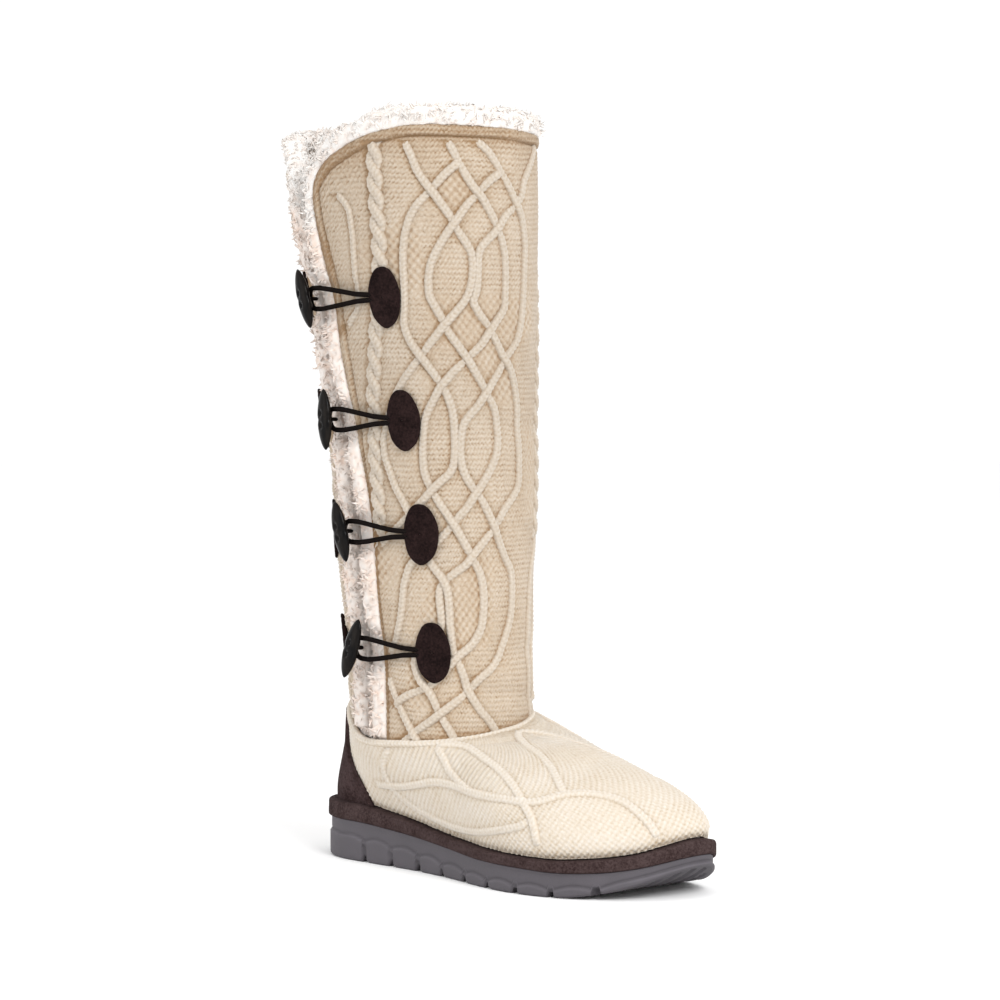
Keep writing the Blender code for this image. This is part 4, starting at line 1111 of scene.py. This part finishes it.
def make_outsole():
    """Foam sole: an inset band over cleats whose tops are scalloped, and a grooved tread underneath."""
    stations = stations_for(301)
    grooves = GROOVE_FIRST_X + GROOVE_PITCH * np.arange(GROOVES)
    bottom, seam = (curve(LEVELS, name, stations, "x") for name in ("bottom", "seam"))
    bottom = np.maximum(bottom, 0)
    band = np.minimum(BAND_HEIGHT, 0.5 * (seam - bottom))
    away = np.abs(stations[:, None] - grooves).min(axis=1)
    notch = ease((GROOVE_WIDTH / 2 + 0.5 - away) / 0.9)
    in_cleats = ease((stations - GROOVE_FIRST_X + 30) / 20) * ease((grooves[-1] + 16 - stations) / 8)
    lobe = np.cos(np.pi * np.clip((stations - GROOVE_FIRST_X) / GROOVE_PITCH % 1 - 0.5, -0.5, 0.5))
    ledge = seam - band - 0.8 - (2.6 - 2.4 * lobe) * in_cleats
    floor_z = bottom + GROOVE_DEPTH * notch
    z = floor_z + np.linspace(0, 1, 24)[:, None] * (seam - floor_z)
    z = np.concatenate([z, z[:, -2:0:-1]], axis=1)
    ledge_round, floor_round, seam_round, notch_round = (there_and_back(v) for v in (ledge, floor_z, seam, notch))
    above = ease((z - ledge_round) / 1.3 + 0.5)
    inset = BAND_INSET * above + 0.25 * (1 - above)
    inset += 1.3 * ease((1.6 - (z - floor_round)) / 1.6) ** 2
    inset += 1.1 * notch_round * (1 - above) * ease((ledge_round - 1.2 - z) / 1.5)
    inset += 0.25 * hump(z - ledge_round - 0.9, 0.5)
    edge, inward = feather_line(stations)
    side = np.concatenate([edge + inset[..., None] * inward, z[..., None]], axis=-1)
    # Lighter along the cleats' top edge and the top of the band, with painted shade in the small groove above the
    # cleats and in the notches.
    tone = 0.55 + 0.18 * hump(z - ledge_round + 0.4, 0.8) - 0.25 * hump(z - ledge_round - 1.0, 0.7)
    tone = tone - 0.2 * notch_round * (1 - above) + 0.1 * ease((z - seam_round + 1.5) / 1.5)
    gone = along_path(edge)
    cloth = Cloth()
    cloth.add(side, paired(gone / 10, z / 10), np.clip(tone, 0, 1), closed=True)
    half = len(stations)
    lateral, medial = two_sides(side[0], half)
    across = np.linspace(0, 1, 34)[:, None]
    under = lateral * (1 - across[..., None]) + medial * across[..., None]
    width = np.abs(medial[:, 1] - lateral[:, 1])
    inside = ease((np.minimum(across, 1 - across) * width - 4) / 1.2) * ease((width - 16) / 8)
    bars = ease((0.36 - np.abs((under[..., 1] / BAR_PITCH) % 1 - 0.5)) / 0.1)
    under[..., 2] += inside * BAR_HEIGHT * (1 - bars) * (1 - notch)
    cloth.add(under[::-1], under[::-1, :, :2] / 10, 0.4)
    lateral, medial = two_sides(side[-1], half)
    over = np.stack([lateral, (lateral + medial) / 2, medial])
    cloth.add(over, over[..., :2] / 10, 0.4)
    cloth.make("foam_sole", FOAM, "sole_foam", ("outsole",))


def make_welt():
    """Suede folded over a strip: a rounded band with slight puckers and a seam at its foot."""
    stations = stations_for(261)
    seam, top = (curve(LEVELS, name, stations, "x") for name in ("seam", "top"))
    edge, inward = feather_line(stations)
    gone = along_path(edge)
    turn = np.linspace(0, 1, 17)[:, None]
    round_in = 1 - np.sqrt(1 - np.clip((turn - 0.72) / 0.28, 0, 1) ** 2)
    round_low = 1 - np.sqrt(1 - np.clip((0.16 - turn) / 0.16, 0, 1) ** 2)
    height = there_and_back(top - seam - GAP)
    z = there_and_back(seam) + GAP + np.clip(turn / 0.9, 0, 1) * height
    inset = -WELT_PROUD + 3.2 * round_in + 1.2 * round_low + np.clip((turn - 0.9) / 0.1, 0, 1) * 6
    pucker = 0.2 * noise(gone / 7, z / 6, 51) + 0.1 * noise(gone / 2.6, z / 2.6, 52)
    points = np.concatenate([edge + (inset - pucker)[..., None] * inward, (z + 0 * inset)[..., None]], axis=-1)
    uv = paired(gone / 10, z / 10)
    cloth = Cloth()
    cloth.add(points, uv, 0.6, closed=True)
    base = np.concatenate([edge + 7.0 * inward, (there_and_back(seam) + GAP)[:, None]], axis=-1)
    cloth.add(np.stack([base, points[0]]), uv[:2], 0.4, closed=True)
    cloth.make("suede_welt", WELT_SUEDE, "brown_suede", ("welt",))


def make_insole():
    """Fleece footbed: a plate whose fuzzy top is hollowed a little under the heel and the ball."""
    stations = stations_for(81)
    seat = there_and_back(curve(LEVELS, "top", stations, "x") + GAP)
    edge, inward = feather_line(stations)
    inset = there_and_back(curve(FOOT, "inset", stations, "x"))[:, None] + 3.8
    levels = ((0, 0), (0, 2.4), (0.5, 3.6), (1.4, 4))
    loops = np.array([np.c_[edge + (inset + more) * inward, seat + up] for more, up in levels])
    cloth = Cloth()
    cloth.add(loops, loops[..., :2] / 10, 0.5, closed=True)
    half = len(stations)
    across = np.linspace(0, 1, 27)[:, None, None]
    for row, top in ((loops[0], False), (loops[-1], True)):
        lateral, medial = two_sides(row, half)
        sheet = lateral[None] * (1 - across) + medial[None] * across
        inside = ease(np.minimum(across[..., 0], 1 - across[..., 0]) * 8) * np.ones(half)
        fuzz = rough(sheet[..., 0] / 5, sheet[..., 1] / 5, 35)
        if top:
            hollow = 0.9 * hump(np.hypot(sheet[..., 0] - 45, sheet[..., 1]), 22)
            hollow += 0.6 * hump(np.hypot(sheet[..., 0] - 190, sheet[..., 1]), 28)
            sheet[..., 2] += inside * (0.5 * fuzz - hollow)
        cloth.add(sheet if top else sheet[::-1], sheet[..., :2] / 10, 0.55 + 0.3 * fuzz)
    cloth.make("fleece_footbed", FLEECE, "fleece_lining", ("insole",))


def make_counter():
    """Suede counter on the foot's heel: it follows the foot's face to a curved front edge, and its rims roll in."""
    rise = np.linspace(0.0, COUNTER_TOP, 56)
    front = curve(COUNTER, "x", rise, "rise")
    side = np.linspace(-1, 1, 141)
    reach = front[:, None] * side
    along = np.where(reach >= 0, FOOT_ROUND - reach, -reach) % FOOT_ROUND
    up = np.broadcast_to(rise[:, None], along.shape)
    face, normal = on_foot(FOOT_FACE, along, up), on_foot(FOOT_NORMAL, along, up)
    rim = np.minimum(np.minimum(1 - np.abs(side), 0.5) * front[:, None], (1 - rise[:, None] / COUNTER_TOP) * 60)
    rim = np.minimum(rim, 30)
    thick = 2.5 * np.sqrt(1 - np.clip(1 - rim / 1.3, 0, 1) ** 2) - 0.6
    ripple = 0.15 * noise(along / 9, up * 8, 61)
    stitch = hump(rim - 3.0, 0.55)
    points = face + normal * (thick + ripple - 0.35 * stitch)[..., None]
    cloth = Cloth()
    cloth.add(points[:, ::-1], paired(along / 10, up * 6)[:, ::-1], 0.6)
    cloth.make("suede_counter", COUNTER_SUEDE, "brown_suede", ("heel_counter",))


# Fur.


def fur_frames():
    """The path along the shaft's edge, from the rear edge's foot by the collar to the front edge's foot, with axes."""
    share = np.linspace(0, 1, 260)
    top_angle = between_edges(COLLAR_LINE, share)
    collar_z = collar_height(top_angle)
    collar_angle = between_edges(collar_z, share)
    foot = np.array([seam_height(rear_edge(75)), seam_height(front_edge(75))]) - 3
    rise = np.arange(foot[0], collar_z[0], FUR_STEP)
    fall = np.arange(foot[1], collar_z[-1], FUR_STEP)[::-1]
    angle = np.concatenate([rear_edge(rise), collar_angle, 360 + front_edge(fall)])
    z = np.concatenate([rise, collar_z, fall])
    data = even(np.c_[ring(angle, z), angle, z], FUR_STEP)
    path, angle, z = data[:, :3], data[:, 3], data[:, 4]
    normal = ring_normal(angle, z)
    along = unit(np.gradient(path, axis=0))
    out = unit(np.cross(along, normal))
    return path, angle, z, normal, along, out


def fur_section(turn):
    """The roll's section, a smooth closed curve through the table's points, at shares of the way round."""
    steps, radius = 440, 16
    corners = len(FUR["out"])
    kernel = np.hanning(2 * radius + 1)
    kernel /= kernel.sum()
    section = []
    for values in FUR.values():
        dense = np.interp(np.linspace(0, corners, steps + 1), np.arange(corners + 1), np.r_[values, values[0]])[:-1]
        smooth = np.convolve(np.r_[dense[-radius:], dense, dense[:radius]], kernel, mode="valid")
        section.append(np.interp(np.asarray(turn) % 1 * steps, np.arange(steps + 1), np.r_[smooth, smooth[0]]))
    return section


def tufts(at, turn):
    """How far, in clumps, the nearest of a jittered lattice of clump centres lies on the roll, and the way to it."""
    spots = np.random.default_rng(5).uniform(0.1, 0.9, (256, TUFTS_ROUND, 2))
    along, around = at * FUR_STEP / TUFT, turn * TUFTS_ROUND
    i, j = np.floor(along).astype(int), np.floor(around).astype(int)
    near, way = np.full(i.shape, 9.0), np.zeros((*i.shape, 2))
    for a, b in np.ndindex(3, 3):
        column, row = i + a - 1, j + b - 1
        spot = spots[column % 256, row % TUFTS_ROUND]
        towards = np.stack([column + spot[..., 0] - along, row + spot[..., 1] - around], -1)
        far = np.linalg.norm(towards, axis=-1)
        way = np.where((far < near)[..., None], towards, way)
        near = np.minimum(far, near)
    return near, way


def fur_surface(frames, at, turn):
    """Points on the fur's roll at places along its path and round its section, domed clump by clump, lower beside
    the toggles and lower again along the collar; with their axes, the pile's share of its length and 1 in the slit."""
    path, angle, z, normal, along, out = frames
    k = np.arange(len(path))
    axes = []
    for grid in (path, normal, out, along):
        axes.append(np.stack([np.interp(at, k, grid[:, axis]) for axis in range(3)], -1))
    height, turned = np.interp(at, k, z), np.interp(at, k, angle)
    sideways, lift = fur_section(turn)
    dome = 1 - (tufts(at, turn)[0] / 0.75) ** 2
    lumps = 0.90 + 0.10 * rough(at / 5, turn * 7, 71) + 0.10 * dome
    in_slit = ease((collar_height(turned) - height) / 12 - 1)
    rear_corner = hump(turned - rear_edge(COLLAR_LINE) - 12, 26) * (1 - in_slit)
    sideways = FUR_CORE[0] + (sideways - FUR_CORE[0]) * lumps
    sideways = sideways - ((1 - in_slit) * 0.18 + 0.48 * rear_corner) * np.maximum(sideways, 0)
    lift = FUR_CORE[1] + (lift - FUR_CORE[1]) * lumps
    beside = np.abs(height[..., None] - TOGGLES["z"]).min(axis=-1)
    room = np.interp(beside, FUR_ROOM["beside"], FUR_ROOM["lift"])
    room = room * in_slit + 1.6 * (1 - in_slit)
    lift = lift - 0.7 * np.log1p(np.exp((lift - room) / 0.7))
    above_foot = height - seam_height(turned)
    lift = np.minimum(lift, -3 + 6 * ease((above_foot + 0.5) / 5))
    level = 1 - axes[2][..., 2] ** 2
    lift = lift - sideways**2 * level / (2 * SLIT_RADIUS)
    point = axes[0] + axes[2] * sideways[..., None] + axes[1] * lift[..., None]
    pile = (1 - 0.35 * in_slit * ease((13 - beside) / 6)) * (1 - 0.4 * rear_corner)
    return point, axes, pile, in_slit


def make_fur():
    """The fur's domed roll and the locks on it, in one piece for each of its three runs."""
    frames = fur_frames()
    count, sides = len(frames[0]), 40
    share = np.linspace(0, 1, sides + 1)[:-1]
    at, turn = np.meshgrid(np.linspace(0, count - 1, 2 * count), share, indexing="ij")
    body, _, _, in_slit = fur_surface(frames, at, turn)
    # Painted shade between the clumps and down the slit, with random tone.
    tone = 0.86 - 0.7 * tufts(at, turn)[0] ** 2 + 0.12 * rough(at / 4, turn * 9, 75) - FUR_SLIT_SHADE * in_slit
    tone = np.clip(tone, 0, 1)
    tone = np.concatenate([tone[:1], tone, tone[-1:]])
    ends = [body[k].mean(axis=0)[None].repeat(sides, 0) for k in (0, -1)]
    body = np.concatenate([ends[0][None], body, ends[1][None]])
    roll = Cloth()
    uv = paired(np.r_[at[:1], at, at[-1:]] / 5, np.r_[turn[:1], turn, turn[-1:]])
    roll.add(body, uv, tone, closed=True)
    roll.make("plush_ground", PLUSH, "cream_fur", ("fur_edging",))
    rng = np.random.default_rng(17)
    turns = (0, FLAP_STEPS, count - FLAP_STEPS, count - 1)
    for name, first, last in zip(("rear", "collar", "front"), turns, turns[1:]):
        make_locks(f"plush_locks_{name}", frames, rng, first, last, int(LOCKS * (last - first)))


def make_locks(name, frames, rng, first, last, number):
    """Soft locks: thin three-sided hairs that curl along the roll, gather to their clump's middle and lie the
    clump's own way."""
    at = rng.uniform(first, last, number)
    turn = rng.uniform(0.06, 0.9, number)
    root, axes, pile, in_slit = fur_surface(frames, at, turn)
    beyond, before = (fur_surface(frames, at, turn + step)[0] for step in (0.02, -0.02))
    around = unit(beyond - before)
    outward = unit(np.cross(axes[3], around))
    outward *= np.sign((outward * (root - axes[0] - axes[2] * 3.5 + axes[1] * 6)).sum(-1))[:, None]
    way = tufts(at, turn)[1]
    middle, middle_turn = at + way[:, 0] * TUFT / FUR_STEP, turn + way[:, 1] / TUFTS_ROUND
    swirl = np.stack([noise(middle / 1.7, middle_turn * 17, 80 + k) for k in range(3)], -1)
    gather = axes[3] * way[:, :1] + around * way[:, 1:]
    combed = axes[2] * (0.5 * ease((0.3 - turn) / 0.2))[:, None]
    flat = 0.6 * gather + 1.1 * swirl + combed + 0.18 * rng.normal(size=(number, 3))
    lean = unit(0.34 * outward + flat - 0.8 * (flat * outward).sum(-1, keepdims=True) * outward)
    length = rng.uniform(*HAIR_LENGTH, number) * pile
    across = unit(np.cross(lean, outward + 0.3 * rng.normal(size=(number, 3))))
    third = np.cross(lean, across)
    t = np.linspace(0, 1, 4)
    curl, spin = rng.uniform(*HAIR_CURL, number), rng.uniform(0, 2 * np.pi, number)
    rows = []
    for share in t:
        swing = curl * share * 2 + spin
        offset = across * (np.sin(swing) - np.sin(spin))[:, None] + third * (np.cos(swing) - np.cos(spin))[:, None]
        rows.append(root - lean * 0.8 + (lean * share * 0.85 + 0.18 * offset) * length[:, None])
    centre = np.stack(rows, 1)
    sideways = ((centre[:, -1] - axes[0]) * axes[2]).sum(-1)
    height = ((centre[:, -1] - axes[0]) * axes[1]).sum(-1)
    # Hairs whose tips would lie in the knit are left out.
    free = ((sideways > 0.9) & (height > -3)) | (height < -4.8) | (sideways > 3)
    kept = (centre, across, third, at, swirl, in_slit)
    centre, across, third, at, swirl, in_slit = (values[free] for values in kept)
    number = len(at)
    radius = rng.uniform(*HAIR_RADIUS, number)[:, None] * (1 - t[:-1] ** 1.7 * 0.7)
    turnings = np.arange(3) * 2 * np.pi / 3
    circle = across[:, None] * np.cos(turnings)[:, None] + third[:, None] * np.sin(turnings)[:, None]
    rings = centre[:, :-1, None] + circle[:, None] * radius[:, :, None, None]
    # Painted shade: darker at the roots and down the slit, lighter to the tips, with random tone for each lock.
    shade = rng.uniform(-0.08, 0.08, number) + 0.14 * swirl[:, 0] - FUR_SLIT_SHADE * in_slit
    shade = shade[:, None] + np.linspace(0.5, 0.85, 4)
    tone = np.concatenate([np.repeat(shade[:, :-1], 3, axis=1), shade[:, -1:]], axis=1)
    uv = paired(at[:, None], tone)
    cloth = Cloth()
    cloth.add_many(rings, centre[:, -1], uv, np.clip(tone, 0, 1))
    cloth.make(name, PLUSH, "cream_fur", smooth=False)


# Patches, toggles and cords.


def make_patch(name, z, angle):
    """Oval suede patch: rings of an ellipse that follow the shaft, domed, with a rolled edge and sunk stitching."""
    turn = np.linspace(0, 2 * np.pi, 65)[:-1]
    share = np.r_[PATCH_RIM["share"], np.linspace(0.72, 0.02, 12)]
    lift = np.r_[PATCH_RIM["lift"], np.linspace(1.76, 1.9, 12)]
    wobble = 1 + 0.012 * np.sin(3 * turn + z) + 0.008 * np.sin(7 * turn)
    across = share[:, None] * PATCH_WIDTH / 2 * np.cos(turn) * wobble
    up = share[:, None] * PATCH_HEIGHT / 2 * np.sin(turn) * wobble
    reach = np.linspace(-13, 13, 53)
    angles = np.array([walk(z, angle, step) for step in reach])
    face = ring(np.interp(across, reach, angles), z + up, PATCH_SEAT + lift[:, None] + 0.12 * noise(across, up, 7))
    cloth = Cloth()
    cloth.add(face[:, ::-1], paired(across, up)[:, ::-1] / 10, 0.6, closed=True)
    cloth.make(name, SUEDE, "brown_suede", (name,))


def make_toggle(number, z, angle, tilt, pitch):
    """Horn toggle: ovals that swell from tip to tip, with a waist groove and two cord holes through its middle."""
    centre = ring(angle, z, TOGGLE_LIFT + TOGGLE_DEPTH / 2)
    normal = ring_normal(angle, z)
    rearward = np.cross(normal, (0, 0, 1))
    lean, tip = np.radians(tilt), np.radians(pitch)
    along = np.array((0, 0, 1)) * np.cos(lean) + rearward * np.sin(lean)
    side = np.cross(normal, along)
    axis = along * np.cos(tip) + normal * np.sin(tip)
    normal = np.cross(axis, side)
    share = np.sin(np.linspace(-1, 1, 45) * np.pi / 2)
    swell = (1 - share**2) ** 0.62
    turn = np.linspace(0, 2 * np.pi, 41)[:-1]
    waist = 1 - 0.10 * hump(share, 0.09)
    across = (swell * waist)[:, None] * np.cos(turn) * TOGGLE_WIDTH / 2
    depth = (swell * waist)[:, None] * np.sin(turn) * TOGGLE_DEPTH / 2
    length = share[:, None] * TOGGLE_LENGTH / 2
    for spot in (-CORD_HOLE, CORD_HOLE):
        depth = depth * (1 - 0.75 * hump(np.hypot(length - spot, across), CORD_HOLE_RADIUS))
    points = centre + length[..., None] * axis + across[..., None] * side + depth[..., None] * normal
    cloth = Cloth()
    cloth.add(points, paired(share[:, None], turn / 6), 0.6, closed=True)
    cloth.make(f"toggle_horn_{number}", HORN, "black_toggle", (f"toggle_{number}",))


def loop_path(reach):
    """The elastic loop's centre line: apart on its way from the patch, and bent round the toggle's stem."""
    back = -reach + GAP
    away = back + reach * LOOP["share"]
    bend = np.radians((54, 18, -18, -54))
    across = np.concatenate([away, LOOP_RADIUS * np.cos(bend), away[::-1]])
    up = np.concatenate([LOOP["apart"], LOOP_RADIUS * np.sin(bend), -LOOP["apart"][::-1]])
    hem = -SLIT_WIDTH / 2 - HEM_WIDTH
    lift = np.interp(across, (back, hem - 5, hem - 1), (1.5, 1.8, LOOP_LIFT))
    rows = np.c_[across, up, lift]
    under_patch = (-2.5, 0, -0.7)
    return np.concatenate([[rows[0] + under_patch], rows, [rows[-1] + under_patch]])


def lay_cord(name, node, rows, z, angle, diameter):
    """A cord laid on the shaft: rows of distance round it, height above the toggle and lift, smoothed."""
    rows = even(rows, 0.8)
    rows = np.stack([softened(rows[:, k], 3) for k in range(3)], -1)
    angles = np.array([walk(z, angle, step) for step in rows[:, 0]])
    centre = ring(angles, z + rows[:, 1], rows[:, 2])
    cloth = Cloth()
    tube(cloth, centre, ring_normal(angles, z + rows[:, 1]), diameter / 2)
    cloth.make(name, BRAID, "black_cord", (node,))


def make_fastenings():
    """Four rows from the top down: front and rear patch, toggle, elastic loop and the toggle's own cord."""
    for number, (z, setback, tilt, pitch) in enumerate(zip(*TOGGLES.values()), 1):
        edge = front_edge(z)
        middle = walk(z, edge, SLIT_WIDTH / 2)
        make_patch(f"patch_front_{number}", z, walk(z, edge, -setback))
        make_patch(f"patch_rear_{number}", z, walk(z, edge, SLIT_WIDTH + REAR_PATCH_SETBACK))
        make_toggle(number, z, middle, tilt, pitch)
        rows = loop_path(SLIT_WIDTH / 2 + setback - PATCH_WIDTH / 2)
        lay_cord(f"elastic_loop_{number}", f"cord_loop_{number}", rows, z, middle, LOOP_DIAMETER)
        stem = np.c_[STEM["across"], 0 * STEM["across"], STEM["lift"]]
        lay_cord(f"elastic_stem_{number}", f"cord_stem_{number}", stem, z, middle, STEM_DIAMETER)


# Floor, light and camera.

SKY_STRENGTH = 1.06
# Each light's name, place in metres, width and power, and the spot that they face.
LIGHTS = (("key", (2.0, -0.5, 1.5), 1.0, 39.0), ("fill", (-0.5, -1.9, 0.6), 1.8, 11.0))
LIT_SPOT = (0.05, 0, 0.2)


def make_studio():
    """A wide pale floor, an even bright sky, a soft key from beyond the toe and a weak wide fill beside the slit."""
    made, add, link = nodes_of("studio_paper", 0.9)
    place = object_place(add)
    cloud = grain(add, place, 4.0, 2.0)
    link(ramp(add, cloud, (0.0, (0.93, 0.93, 0.93)), (1.0, (0.96, 0.96, 0.96))), "Base Color")
    mesh = bpy.data.meshes.new("floor")
    mesh.from_pydata([(-6, -6, 0), (6, -6, 0), (6, 6, 0), (-6, 6, 0)], [], [(0, 1, 2, 3)])
    mesh.materials.append(made)
    floor = bpy.data.objects.new("floor", mesh)
    bpy.context.scene.collection.objects.link(floor)
    world = bpy.data.worlds.new("studio")
    bpy.context.scene.world = world
    world.use_nodes = True
    world.node_tree.nodes["Background"].inputs["Color"].default_value = (1, 1, 1, 1)
    world.node_tree.nodes["Background"].inputs["Strength"].default_value = SKY_STRENGTH
    for name, place, size, power in LIGHTS:
        data = bpy.data.lights.new(name, "AREA")
        data.size, data.energy = size, power
        light = bpy.data.objects.new(name, data)
        light.location = place
        light.rotation_euler = facing(np.array(LIT_SPOT) - place)
        bpy.context.scene.collection.objects.link(light)


def facing(aim):
    """The rotation that points an object's -Z axis along a direction, with its Y axis up."""
    return Vector(aim).to_track_quat("-Z", "Y").to_euler()


def make_camera():
    """The photograph's camera as it was fitted, its place and its lens to a tenth of a millimetre."""
    data = bpy.data.cameras.new("camera")
    data.lens = round(data.sensor_width * PHOTO_FOCUS / (2 * PHOTO_MIDDLE), 1)
    data.clip_start, data.clip_end = 0.05, 50
    camera = bpy.data.objects.new("camera", data)
    camera.location, aim = (np.round(point - (HEEL_REST_X, 0, 0), 1) * MM for point in (PHOTO_EYE, PHOTO_AIM))
    camera.rotation_euler = facing(aim - camera.location)
    bpy.context.scene.collection.objects.link(camera)
    bpy.context.scene.camera = camera
    bpy.context.scene.view_settings.view_transform = "Standard"


make_shaft()
make_foot()
make_outsole()
make_welt()
make_insole()
make_counter()
make_fur()
make_fastenings()
make_studio()
make_camera()
